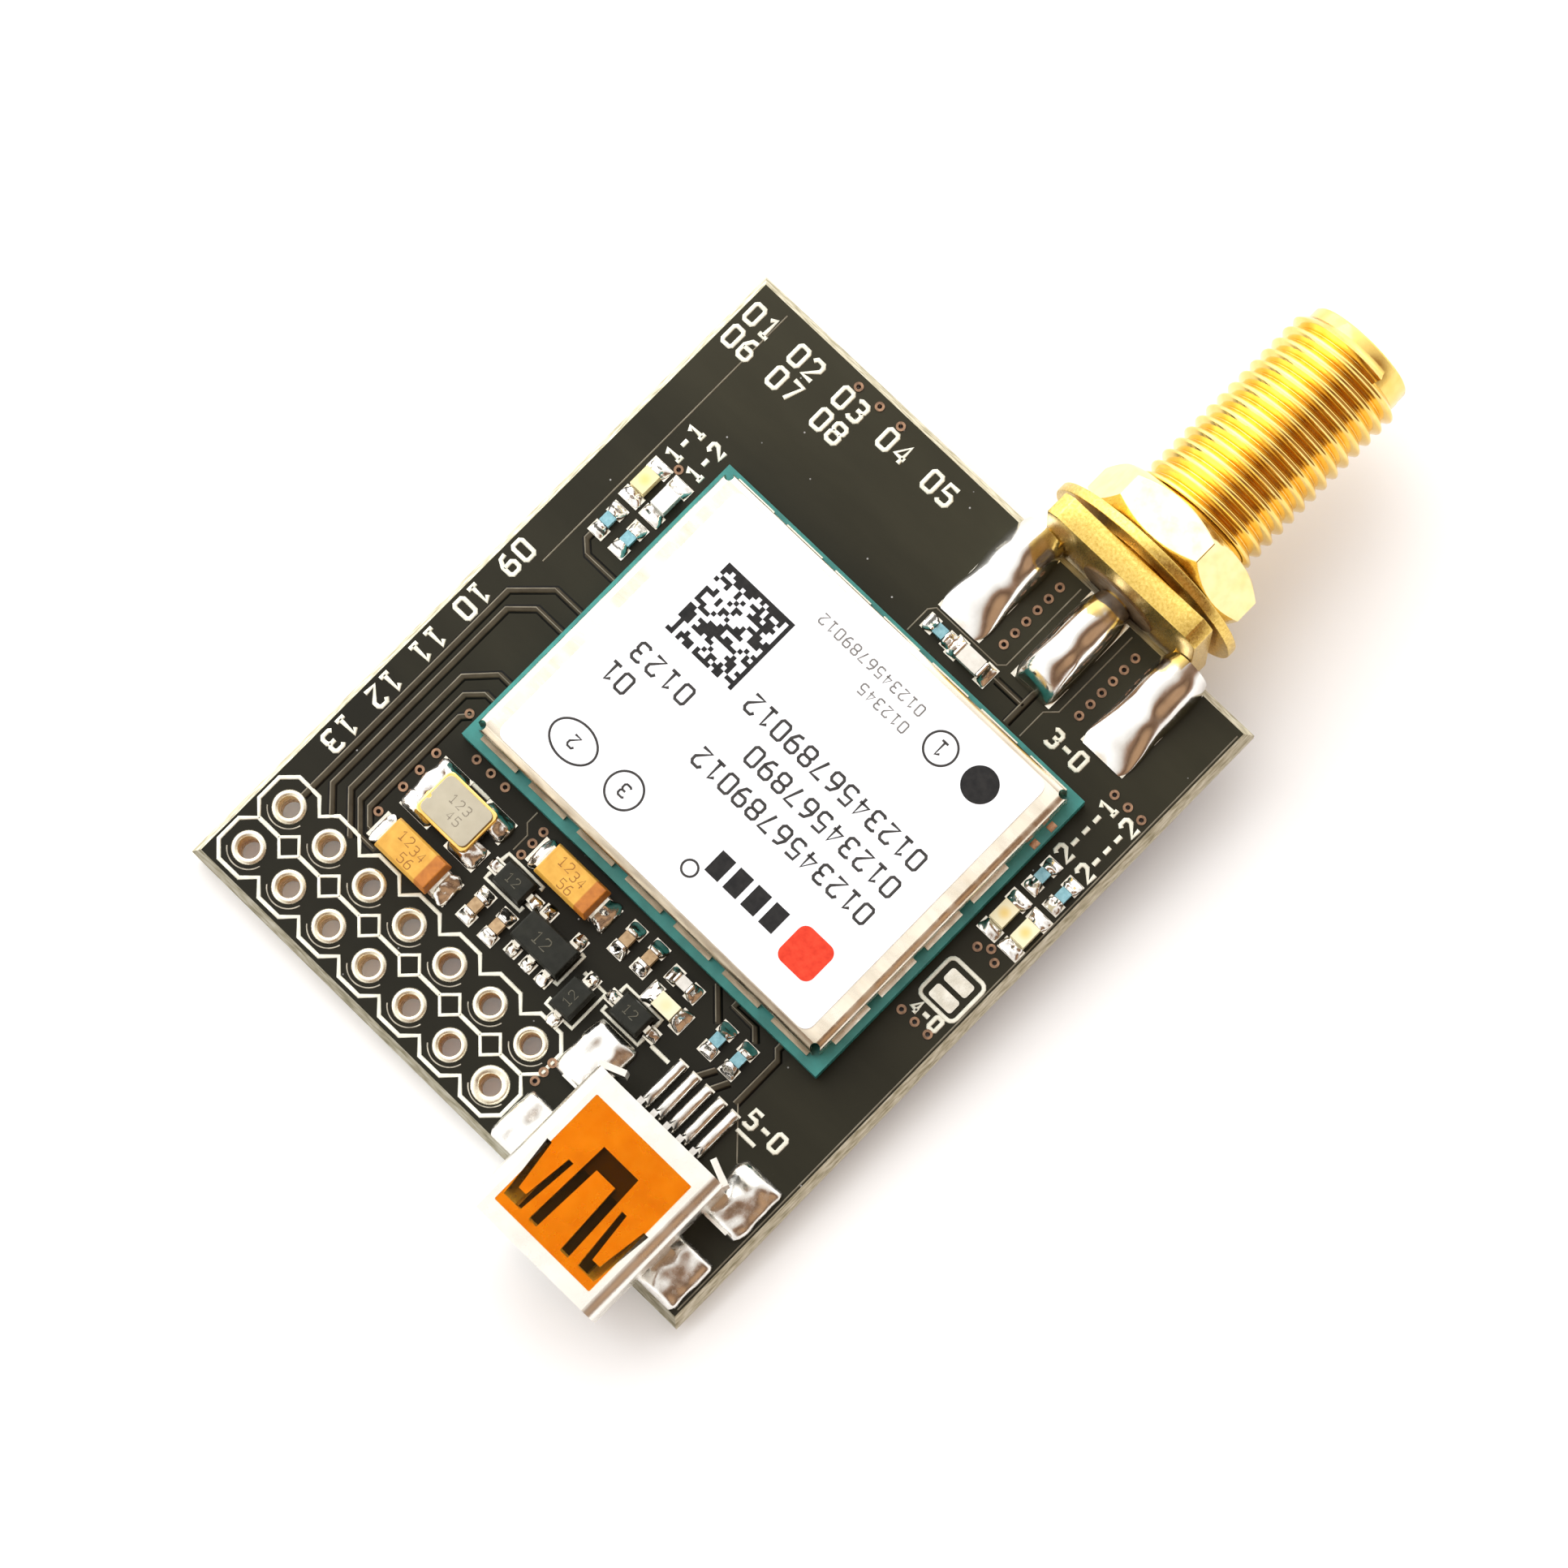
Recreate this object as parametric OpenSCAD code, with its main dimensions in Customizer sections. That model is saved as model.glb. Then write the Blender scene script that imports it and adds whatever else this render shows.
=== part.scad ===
// Satellite receiver module on a carrier board with an antenna jack, a mini-B socket and header holes.
// Places are measured from the board's left edge (x), its header edge (y) and its underside (z).
// The finished part is moved so that the first header hole is the origin.

/* [Board] */
// Width of the board, along the header
board_w = 30.4; // [30.2:0.1:34]
// Length of the board, from the header edge to the antenna edge
board_l = 36.65; // [36.5:0.05:42]
// Thickness of the board
board_t = 1.6; // [1.4:0.1:2.4]
// Depth of the score groove that each edge was broken out of, on either face
score_depth = 0.5; // [0.2:0.05:0.6]
// How far the groove sets the faces back from the broken edge
score_setback = 0.35; // [0.1:0.05:0.5]
// Thickness of the tinned lands on both faces
land_t = 0.05; // [0.03:0.01:0.1]
// Thickness of the plating in holes
plating_t = 0.018; // [0.012:0.001:0.019]

/* [Header holes] */
// Distance between neighbouring holes
pin_pitch = 2.54; // [2:0.02:2.56]
// Holes in each row
pin_columns = 7; // [2:1:7]
// Rows of holes
pin_rows = 2; // [1:1:2]
// Diameter of a plated hole
pin_hole_d = 1; // [0.7:0.05:1.2]
// Diameter of the land around a hole
pin_land_d = 1.6; // [1.4:0.05:1.9]
// First hole from the left edge
pin_1_x = 1.83; // [1.6:0.01:1.9]
// First hole from the header edge
pin_1_y = 1.9; // [1.6:0.05:2]

/* [Vias] */
// Diameter of a plated via hole
via_hole_d = 0.22; // [0.15:0.01:0.25]
// Diameter of the ring around a via
via_land_d = 0.45; // [0.4:0.01:0.5]

/* [Receiver module] */
// Board left free on the left of the module's carrier
module_left = 5.2; // [5:0.05:7]
// Board left free on the right of the carrier
module_right = 3.2; // [3.1:0.05:6]
// Board left free between the header edge and the carrier
module_front = 12.1; // [11.9:0.05:14]
// Board left free between the carrier and the antenna edge
module_back = 7.55; // [7.4:0.05:9]
// Thickness of the carrier
carrier_t = 0.9; // [0.6:0.05:1.2]
// Height of the shield above the carrier
shield_h = 1.5; // [1.3:0.05:2]
// Sheet thickness of the shield
shield_sheet = 0.2; // [0.1:0.05:0.25]
// Outer bend radius of the shield's edges
shield_bend = 0.35; // [0.3:0.05:0.5]
// Carrier left bare around the shield's walls
shield_inset = 0.47; // [0.4:0.01:0.7]
// How far the shield sits right of the carrier's middle
shield_shift_x = -0.05; // [-0.1:0.01:0.1]
// How far the shield sits behind the carrier's middle
shield_shift_y = 0.1; // [-0.1:0.01:0.1]
// Bare wall between a corner and the first foot, on the long walls
long_wall_margin = 0.4; // [0.3:0.05:0.6]
// Bare wall between a corner and the first foot, on the short walls
short_wall_margin = 1.05; // [0.3:0.05:1.2]
// Distance between neighbouring feet on the short walls
short_foot_pitch = 2.9; // [2.5:0.05:3]
// Length of each soldered foot of the shield
foot_l = 2.2; // [1.6:0.1:2.4]
// How far a foot is turned out
foot_out = 0.19; // [0.1:0.01:0.28]
// Height of the open notches between the feet
notch_h = 0.55; // [0.3:0.05:0.8]
// Feet along each long wall
long_feet = 7; // [5:1:7]
// Feet along each short wall
short_feet = 4; // [3:1:4]
// Diameter of the relief hole at each folded corner
relief_d = 0.45; // [0.3:0.05:0.6]
// Width of the shield's top left bare beside the label
label_margin_x = 0.95; // [0.5:0.05:2]
// Width of the shield's top left bare before and behind the label
label_margin_y = 0.4; // [0.36:0.02:2]
// Thickness of the label
label_t = 0.06; // [0.04:0.01:0.15]
// Corner radius of the label
label_r = 0.5; // [0.2:0.05:1]

/* [Antenna jack] */
// Clearance between the board's edge and the back of the jack
edge_clearance = 0.02; // [0.01:0.01:0.2]
// Jack axis from the board's right edge
jack_inset = 8.5; // [8:0.1:9]
// Width and height of the flange
flange_w = 8.9; // [8.6:0.05:9.6]
// Thickness of the flange
flange_t = 1.2; // [1:0.05:2]
// Chamfer of the flange's corners
flange_chamfer = 0.55; // [0.2:0.05:0.9]
// Thread diameter of the barrel
barrel_d = 6.35; // [6.1:0.05:6.6]
// Pitch of the thread, drawn as rings
thread_pitch = 0.7056; // [0.6:0.0001:1]
// Depth of the thread
thread_depth = 0.36; // [0.2:0.01:0.4]
// Diameter of the plain collar at the mouth
collar_d = 5.5; // [5.2:0.05:5.8]
// Length of the plain collar
collar_l = 0.6; // [0.3:0.05:1.2]
// Barrel length in front of the flange
barrel_l = 14.5; // [10:0.1:18]
// Diameter of the mouth
mouth_d = 4.6; // [4.5:0.02:4.8]
// Depth of the mouth down to the insulator
mouth_depth = 1.95; // [1.5:0.05:2.5]
// Diameter of the insulator
insulator_d = 4.1; // [3.6:0.05:4.3]
// How far the insulator stands out behind the flange
insulator_out = 0.1; // [0.05:0.05:0.3]
// Diameter of the centre contact
contact_d = 1.27; // [1.1:0.01:1.5]
// Bore of the contact's socket end
contact_bore_d = 0.94; // [0.7:0.02:0.96]
// Depth of the contact's socket
contact_depth = 2.6; // [1.5:0.1:3]
// Length of the contact's tail on the board
tail_l = 4.4; // [3:0.1:4.6]
// Width and height of a ground leg
leg_w = 1; // [0.7:0.05:1.1]
// Length of a ground leg
leg_l = 2.6; // [2:0.1:4]
// Length of the lands under the legs and the tail
jack_land_l = 5.2; // [4.8:0.1:5.3]
// Width of a ground land
ground_land_w = 2.55; // [2.2:0.05:2.8]
// Width of the tail's land
tail_land_w = 2.35; // [1.8:0.05:2.6]
// Nut size across its flats
nut_af = 8; // [7.6:0.1:9]
// Thickness of the nut
nut_t = 2.2; // [1.5:0.1:2.6]
// How far the nut's round faces lie inside its flats
nut_chamfer = 0.05; // [0.02:0.01:0.3]
// Turn of the nut on the thread, in degrees
nut_turn = 54; // [0:1:59]
// Diameter of the washer
washer_d = 10.6; // [9:0.1:11]
// Thickness of the washer
washer_t = 0.5; // [0.3:0.05:0.8]
// Gap on either side of the loose washer
washer_gap = 0.3; // [0.05:0.05:0.8]
// Radial clearance of the nut and the washer on the thread
thread_clearance = 0.05; // [0.03:0.01:0.15]

/* [Mini-B socket] */
// Middle of the socket from the board's right edge
socket_inset = 6.26; // [6.1:0.02:6.4]
// How far the mouth stands out past the header edge
socket_overhang = 2.3; // [1.5:0.1:2.6]
// Width of the shell
shell_w = 7.6; // [7.3:0.05:8]
// Height of the shell
shell_h = 3.95; // [3.8:0.05:4.4]
// Length of the shell
shell_l = 8.1; // [7.9:0.1:8.4]
// Sheet thickness of the shell
shell_sheet = 0.3; // [0.2:0.05:0.35]
// Outer bend radius of the shell's top edges
shell_bend = 0.6; // [0.5:0.05:0.9]
// Width of the shell's narrow underside
shell_floor_w = 5.5; // [5.2:0.1:5.8]
// Height at which the sides start to narrow
shell_shoulder = 1.75; // [1.6:0.05:2]
// Height at which the sides are narrow
shell_waist = 0.85; // [0.6:0.05:1]
// Clearance of the plastic housing in the shell
housing_clearance = 0.05; // [0.03:0.01:0.1]
// Distance between neighbouring contacts
contact_pitch = 0.8; // [0.65:0.05:0.85]
// Width of a contact
contact_w = 0.3; // [0.2:0.02:0.36]
// Sheet thickness of a contact
contact_sheet = 0.2; // [0.1:0.02:0.26]
// Width of the film on top of the shell
film_w = 5.75; // [5:0.05:6.2]
// Length of the film
film_l = 6.3; // [5.5:0.1:6.6]
// Thickness of the film
film_t = 0.06; // [0.03:0.01:0.1]

/* [Crystal oscillator] */
// Length of the oscillator
crystal_l = 3.1; // [2.8:0.05:3.3]
// Width of the oscillator
crystal_w = 2.4; // [2.2:0.05:2.5]
// Height of its ceramic base
crystal_base_h = 0.65; // [0.4:0.05:0.8]
// Thickness of its lid
crystal_lid_t = 0.2; // [0.1:0.02:0.3]
// Corner radius of the base
crystal_r = 0.3; // [0.1:0.05:0.5]
// Width of the rim left around the lid
crystal_rim = 0.16; // [0.1:0.02:0.3]

/* [Tantalum capacitors] */
// Length of the moulded body
tantalum_l = 3.2; // [2.8:0.05:3.3]
// Width of the moulded body
tantalum_w = 1.7; // [1.4:0.05:1.8]
// Height of the moulded body
tantalum_h = 1.5; // [1:0.05:1.8]
// Width of a terminal strip
tantalum_strip_w = 1.2; // [0.9:0.05:1.3]

/* [Diodes and regulator] */
// Body length of a diode
diode_l = 1.7; // [1.4:0.05:1.8]
// Body width of a diode
diode_w = 1.25; // [1:0.05:1.35]
// Body height of a diode
diode_h = 0.95; // [0.7:0.05:1.2]
// Body length of the regulator
regulator_l = 2.9; // [2.7:0.05:3]
// Body width of the regulator
regulator_w = 1.6; // [1.4:0.05:1.7]
// Body height of the regulator
regulator_h = 1.05; // [0.8:0.05:1.3]
// Distance between neighbouring regulator leads
lead_pitch = 0.95; // [0.9:0.01:1]
// Width of a lead
lead_w = 0.38; // [0.25:0.01:0.45]
// Sheet thickness of a lead
lead_sheet = 0.14; // [0.1:0.01:0.2]
// Reach of a lead beyond the moulded body
lead_reach = 0.45; // [0.4:0.05:0.6]
// Height of the gap under a moulded body
body_lift = 0.08; // [0.05:0.01:0.12]

/* [Chip parts] */
// Length of a chip capacitor, resistor or bead
chip_l = 1; // [0.9:0.02:1.05]
// Width of a chip
chip_w = 0.54; // [0.45:0.01:0.6]
// Height of a resistor
resistor_h = 0.35; // [0.3:0.01:0.5]
// Height of a capacitor or bead
capacitor_h = 0.5; // [0.4:0.01:0.6]
// Length of a chip's metal end
chip_end_l = 0.22; // [0.15:0.01:0.26]
// Length of the antenna coil and of each light
large_chip_l = 1.6; // [1.5:0.02:1.65]
// Width of the antenna coil and of each light
large_chip_w = 0.8; // [0.6:0.01:0.85]
// Height of the antenna coil
coil_h = 0.6; // [0.4:0.01:0.8]
// Thickness of a light's base plate
light_base_h = 0.25; // [0.15:0.01:0.35]
// Height of a light's clear moulding
light_lens_h = 0.4; // [0.25:0.01:0.6]
// Length of a light's clear moulding
light_lens_l = 1.1; // [0.9:0.02:1.2]
// How far a land reaches beyond a chip's end
land_reach = 0.42; // [0.3:0.01:0.46]
// How far a land is wider than its chip, on each side
land_side = 0.16; // [0.05:0.01:0.2]

/* [Part placement] */
// First column of the left lights, from the left edge
left_column = 2.9; // [2.6:0.05:3]
// Second column of the right lights, from the right edge
right_column = 1.05; // [1:0.05:1.2]
// Distance between two columns of lights
column_pitch = 1.28; // [1.22:0.01:1.34]
// Left lights from the antenna edge
left_light_inset = 10.65; // [10:0.05:11]
// Right lights from the antenna edge
right_light_inset = 13.55; // [13:0.05:14]
// Distance between a light and its resistor
column_step = 2.4; // [2.3:0.05:2.6]

/* [Hidden] */
$fn = 48;
overlap = 0.1;

seat_z = board_t + land_t;
jack_x = board_w - jack_inset;
jack_y = board_l + insulator_out + edge_clearance;
jack_z = seat_z + contact_d / 2;
socket_x = board_w - socket_inset;
right_x = board_w - right_column;
left_light_y = board_l - left_light_inset;
right_light_y = board_l - right_light_inset;

carrier_w = board_w - module_left - module_right;
carrier_l = board_l - module_front - module_back;
module_x = module_left + carrier_w / 2;
module_y = module_front + carrier_l / 2;
shield_w = carrier_w - 2 * shield_inset;
shield_l = carrier_l - 2 * shield_inset;
shield_z = seat_z + carrier_t;
inside_h = shield_h - shield_sheet;

receiver_chip_place = [-0.145 * shield_w, -0.06 * shield_l];
receiver_chip_size = [7, 7, 0.85];
memory_chip_place = [0.165 * shield_w, -0.22 * shield_l];
memory_chip_size = [3, 2, 0.6];
clock_place = [-0.17 * shield_w, 0.32 * shield_l];
clock_size = [2.5, 2, 0.8];
clock_r = 0.25;
filter_place = [0.165 * shield_w, 0.27 * shield_l];
filter_size = [1.4, 1.1, 0.6];
filter_pitch = 2;
filter_count = 3;
passive_place = [0.145 * shield_w, -0.04 * shield_l];
passive_size = [0.5, 1, 0.5];
passive_pitch = [0.95, 1.3];
passive_counts = [6, 2];

leg_x = (flange_w - leg_w) / 2;
ground_land_shift = 0.45;
ground_land_x = leg_x + ground_land_shift;
leg_cover = 0.4;
tail_cover = 0.25;
washer_y = flange_t + washer_gap;
nut_y = washer_y + washer_t + washer_gap;
nut_bevel = 38;

housing_y = 4.4;
tongue_y = 1.3;
tongue_w = 4.2;
tongue_t = 0.75;
contact_z = 1.5;
contact_setback = 0.15;
foot_places = [4, 7.35];
foot_reach = 1.25;
foot_w = 1.3;
socket_land_w = 2.27;
socket_land_l = 2.7;
socket_land_gap = 0.68;
socket_land_r = 0.3;
socket_land_x = shell_w / 2 + socket_land_gap;
socket_lands_y = [1.72, 6.1];
contact_foot_l = 2.2;
contact_foot_end = shell_l + contact_foot_l;
contact_land_w = 0.55;
contact_land_l = 2.4;
contact_land_y = contact_foot_end - socket_overhang - contact_land_l / 4;
contact_count = 5;
contact_places = [for (i = [0 : contact_count - 1]) (i - (contact_count - 1) / 2) * contact_pitch];

lead_land_l = 0.6;
lead_land_shift = -0.1;
tantalum_land_l = 1.3;
tantalum_land_shift = 0.15;
tantalum_land_side = 0.1;
light_height = light_base_h + light_lens_h;
crystal_land_w = 1.75;
crystal_land_l = 1.25;
crystal_land_out = [0.72, 0.28];
crystal_land_x = crystal_l / 2 + crystal_land_out.x - crystal_land_w / 2;
crystal_land_y = crystal_w / 2 + crystal_land_out.y - crystal_land_l / 2;
regulator_lead_places = [
    [-lead_pitch, -1],
    [0, -1],
    [lead_pitch, -1],
    [-lead_pitch, 1],
    [lead_pitch, 1]
];

crystal_place = [7.5, 9.47, 0];
tantalum_places = [[7.55, 6.7, 0], [13.45, 10.8, 0]];
diode_places = [[11.6, 9, 0], [19.45, 8.45, 0], [17.05, 7.12, 90]];
regulator_place = [14.5, 8, 0];
capacitor_places = [[11, 7.1, 90], [12.35, 7.1, 90], [16.9, 10.7, 90], [18.2, 10.8, 90]];
antenna_row_y = board_l - module_back + 1.17;
resistor_places = [
    [left_column, left_light_y - column_step, 90],
    [left_column + column_pitch, left_light_y - column_step, 90],
    [right_x - column_pitch, right_light_y + column_step, 90],
    [right_x, right_light_y + column_step, 90],
    [socket_x - 1.24, 10.3, 90],
    [socket_x + 0.04, 10.3, 90],
    [jack_x - 4.7, antenna_row_y, 0]
];
bead_place = [20.1, 11.05, 0];
coil_place = [jack_x - 2.8, antenna_row_y, 0];
light_places = [
    [left_column, left_light_y, 90],
    [left_column + column_pitch, left_light_y, 90],
    [right_x - column_pitch, right_light_y, 90],
    [right_x, right_light_y, 90]
];
power_light_place = [20.25, 9.78, 0];
jumper_place = [board_w - 1.65, right_light_y - 4.05];
jumper_pad = [1.35, 0.7];
jumper_r = 0.15;
jumper_pitch = 0.95;

small_chips = concat(capacitor_places, resistor_places, [bead_place]);
large_chips = concat(light_places, [power_light_place, coil_place]);

// Each row of vias is its first place, its step and its count
via_rows = [
    [[jack_x - 2.3, board_l - 1.22], [0, -0.72], 6],
    [[jack_x + 2.35, board_l - 1.22], [0, -0.72], 6],
    [[board_w - 2.56, antenna_row_y + 0.08], [0.82, 0], 3],
    [[6.7, board_l - 0.85], [1.32, 0], 3],
    [[left_column + column_pitch / 2, left_light_y + 1.45], [0, 0], 1],
    [[right_x - column_pitch / 2, right_light_y - 1.5], [0, 0], 1],
    [[board_w - 2.2, right_light_y - 1.85], [1.05, 0], 2],
    [[board_w - 2.66, right_light_y - 6.17], [0.8, 0], 3],
    [[4.64, 13.03], [0, 0], 1],
    [[6.34, 11.78], [0.9, 0], 3],
    [[10.8, 10.13], [0, 0.7], 3],
    [[4.84, 8.63], [0, 1.05], 3],
    [[4.84, 7.08], [0, 0], 1],
    [[socket_x - 5.78, 3.4], [0, 0.55], 3]
];
via_places = [for (row = via_rows) for (i = [0 : row[2] - 1]) row[0] + i * row[1]];
pin_places = [
    for (row = [0 : pin_rows - 1])
        for (column = [0 : pin_columns - 1])
            [pin_1_x + column * pin_pitch, pin_1_y + row * pin_pitch]
];

// Moves the board's corner frame so that the first header hole is the origin
module from_pin_1() translate([-pin_1_x, -pin_1_y, 0]) children();

// Puts a part on the lands at a place given as x, y and a turn in degrees
module placed(place) translate([place.x, place.y, seat_z]) rotate(place.z) children();

// Extrudes an outline drawn in x and z along y
module along_y(l) translate([0, l, 0]) rotate([90, 0, 0]) linear_extrude(l) children();

// Extrudes an outline drawn in y and z along x
module along_x(l) rotate([90, 0, 90]) linear_extrude(l) children();

// Turns a revolved shape so that its axis runs along y
module axis_along_y() rotate([-90, 0, 0]) children();

module block(size) translate([-size.x / 2, -size.y / 2, 0]) cube(size);

module rounded_outline(w, l, r) {
    square([w - 2 * r, l], center = true);
    square([w, l - 2 * r], center = true);
    for (x = [-1, 1], y = [-1, 1])
        translate([x * (w / 2 - r), y * (l / 2 - r)]) circle(r);
}

module rounded_plate(w, l, t, r) linear_extrude(t) rounded_outline(w, l, r);

// Section of a plate whose edges slope back by setback over depth on both faces
function beveled_section(w, t, setback, depth) = [
    [-w / 2 + setback, 0],
    [w / 2 - setback, 0],
    [w / 2, depth],
    [w / 2, t - depth],
    [w / 2 - setback, t],
    [-w / 2 + setback, t],
    [-w / 2, t - depth],
    [-w / 2, depth]
];

module beveled_block(w, l, t, setback, depth) {
    intersection() {
        translate([0, -l / 2, 0]) along_y(l) polygon(beveled_section(w, t, setback, depth));
        translate([-w / 2, 0, 0]) along_x(w) polygon(beveled_section(l, t, setback, depth));
    }
}

// Plated hole with a ring on both faces of the board
module eyelet(hole_d, ring_d) {
    translate([0, 0, -land_t]) difference() {
        union() {
            cylinder(d = ring_d, h = land_t);
            cylinder(d = hole_d + 2 * plating_t, h = board_t + 2 * land_t);
            translate([0, 0, board_t + land_t]) cylinder(d = ring_d, h = land_t);
        }
        translate([0, 0, -overlap]) cylinder(d = hole_d, h = board_t + 2 * land_t + 2 * overlap);
    }
}

// Board

module circuit_board() {
    color("#2e2b23") difference() {
        translate([board_w / 2, board_l / 2, 0])
            beveled_block(board_w, board_l, board_t, score_setback, score_depth);
        for (place = pin_places)
            translate([place.x, place.y, -overlap])
                cylinder(d = pin_hole_d + 2 * plating_t, h = board_t + 2 * overlap);
        for (place = via_places)
            translate([place.x, place.y, -overlap])
                cylinder(d = via_hole_d + 2 * plating_t, h = board_t + 2 * overlap);
    }
}

module header_lands() {
    color("#e8e2d0")
        for (place = pin_places)
            translate([place.x, place.y, 0]) eyelet(pin_hole_d, pin_land_d);
}

module vias() {
    color("#c08a68")
        for (place = via_places)
            translate([place.x, place.y, 0]) eyelet(via_hole_d, via_land_d);
}

// A pair of lands under the ends of a chip
module chip_lands(l, w) {
    land_l = chip_end_l + land_reach;
    for (side = [-1, 1])
        translate([side * (l / 2 - chip_end_l + land_l / 2), 0, -land_t])
            block([land_l, w + 2 * land_side, land_t]);
}

// Land under the foot of one lead
module lead_land() translate([0, 0, -land_t]) block([lead_w + 2 * land_side, lead_land_l, land_t]);

module surface_lands() {
    color("#d9d6cf") {
        for (place = small_chips) placed(place) chip_lands(chip_l, chip_w);
        for (place = large_chips) placed(place) chip_lands(large_chip_l, large_chip_w);
        for (place = tantalum_places)
            placed(place)
                for (side = [-1, 1])
                    translate([side * (tantalum_l / 2 + tantalum_land_shift), 0, -land_t])
                        block([tantalum_land_l, tantalum_strip_w + 2 * tantalum_land_side, land_t]);
        for (place = diode_places)
            placed(place)
                for (side = [-1, 1])
                    translate([side * (diode_l / 2 + lead_reach + lead_land_shift), 0, 0])
                        rotate(90) lead_land();
        placed(regulator_place)
            for (lead = regulator_lead_places)
                translate([lead.x, lead.y * (regulator_w / 2 + lead_reach + lead_land_shift), 0])
                    lead_land();
        placed(crystal_place)
            for (x = [-1, 1], y = [-1, 1])
                translate([x * crystal_land_x, y * crystal_land_y, -land_t])
                    block([crystal_land_w, crystal_land_l, land_t]);
        translate([jumper_place.x, jumper_place.y, board_t])
            for (side = [-1, 1])
                translate([0, side * jumper_pitch / 2, 0])
                    rounded_plate(jumper_pad.x, jumper_pad.y, land_t, jumper_r);
        jack_lands();
        translate([socket_x, 0, board_t]) {
            for (side = [-1, 1], y = socket_lands_y)
                translate([side * socket_land_x, y, 0])
                    rounded_plate(socket_land_w, socket_land_l, land_t, socket_land_r);
            for (x = contact_places)
                translate([x, contact_land_y, 0]) block([contact_land_w, contact_land_l, land_t]);
        }
    }
}

// Lands of the jack on both faces, up to the board's score groove
module jack_lands() {
    land_y = board_l - score_setback - jack_land_l / 2;
    for (x = [-ground_land_x, ground_land_x], z = [board_t, -land_t])
        translate([jack_x + x, land_y, z]) block([ground_land_w, jack_land_l, land_t]);
    translate([jack_x, land_y, board_t]) block([tail_land_w, jack_land_l, land_t]);
}

// Receiver module

module at_module() translate([module_x, module_y, seat_z]) children();

module module_carrier() {
    color("#1f8f86") at_module() block([carrier_w, carrier_l, carrier_t]);
}

// Closed can with bent upper edges, as an outer or an inner shape
module can_shape(w, l, h, bend) {
    intersection() {
        translate([0, -l / 2, 0]) along_y(l) can_section(w, h, bend);
        translate([-w / 2, 0, 0]) along_x(w) can_section(l, h, bend);
    }
}

module can_section(w, h, bend) {
    translate([-w / 2, 0]) square([w, h - bend]);
    translate([-w / 2 + bend, 0]) square([w - 2 * bend, h]);
    for (side = [-1, 1]) translate([side * (w / 2 - bend), h - bend]) circle(bend);
}

// Feet turned out along a wall that faces +y, counted back from the end of the first one
module wall_feet(end, step, count) {
    for (i = [0 : count - 1])
        translate([end - foot_l - i * step, -shield_sheet, 0])
            cube([foot_l, foot_out + shield_sheet, shield_sheet]);
}

// Open notches from one foot to the next, in a wall that faces +y
module wall_notches(end, step, count) {
    for (i = [1 : count - 1])
        translate([end - i * step, -shield_sheet - overlap, -overlap])
            cube([step - foot_l, shield_sheet + 2 * overlap, notch_h + overlap]);
}

module each_wall() {
    for (turn = [0, 180]) rotate(turn) translate([0, shield_l / 2, 0]) children(0);
    for (turn = [90, 270]) rotate(turn) translate([0, shield_w / 2, 0]) children(1);
}

module at_shield(z) translate([module_x + shield_shift_x, module_y + shield_shift_y, z]) children();

module module_shield() {
    long_end = shield_w / 2 - long_wall_margin;
    long_foot_pitch = (2 * long_end - foot_l) / (long_feet - 1);
    short_end = shield_l / 2 - short_wall_margin;
    color("#c9bfa6") at_shield(shield_z) difference() {
        union() {
            difference() {
                can_shape(shield_w, shield_l, shield_h, shield_bend);
                translate([0, 0, -overlap])
                    can_shape(
                        shield_w - 2 * shield_sheet,
                        shield_l - 2 * shield_sheet,
                        inside_h + overlap,
                        shield_bend - shield_sheet / 2
                    );
                each_wall() {
                    wall_notches(long_end, long_foot_pitch, long_feet);
                    wall_notches(short_end, short_foot_pitch, short_feet);
                }
            }
            each_wall() {
                wall_feet(long_end, long_foot_pitch, long_feet);
                wall_feet(short_end, short_foot_pitch, short_feet);
            }
        }
        for (x = [-1, 1], y = [-1, 1])
            translate([x * (shield_w - relief_d) / 2, y * (shield_l - relief_d) / 2, -overlap]) {
                cylinder(d = relief_d, h = shield_h + 2 * overlap);
                translate([min(0, x * relief_d), min(0, y * relief_d), 0])
                    cube([relief_d, relief_d, shield_h + 2 * overlap]);
            }
    }
}

module module_label() {
    color("white") at_shield(shield_z + shield_h)
        rounded_plate(shield_w - 2 * label_margin_x, shield_l - 2 * label_margin_y, label_t, label_r);
}

// Places a chip under the shield, measured from the module's centre
module on_carrier(place) translate([module_x + place.x, module_y + place.y, shield_z]) children();

module receiver_chip() {
    color("#26282b") on_carrier(receiver_chip_place) block(receiver_chip_size);
}

module memory_chip() {
    color("#303236") on_carrier(memory_chip_place) block(memory_chip_size);
}

module module_clock() {
    color("#cdbf96") on_carrier(clock_place)
        rounded_plate(clock_size.x, clock_size.y, clock_size.z, clock_r);
}

module band_filters() {
    color("#8c8f92")
        for (i = [0 : filter_count - 1])
            on_carrier(filter_place + [i * filter_pitch, 0]) block(filter_size);
}

module module_passives() {
    color("#b59a6a")
        for (i = [0 : passive_counts.x - 1], j = [0 : passive_counts.y - 1])
            on_carrier(passive_place + [i * passive_pitch.x, j * passive_pitch.y]) block(passive_size);
}

// Antenna jack, drawn along y from the back of its flange

module at_jack() translate([jack_x, jack_y, jack_z]) children();

module flange_outline() {
    half = flange_w / 2;
    edge = half - flange_chamfer;
    polygon([
        [-edge, -half],
        [edge, -half],
        [half, -edge],
        [half, edge],
        [edge, half],
        [-edge, half],
        [-half, edge],
        [-half, -edge]
    ]);
}

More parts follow.
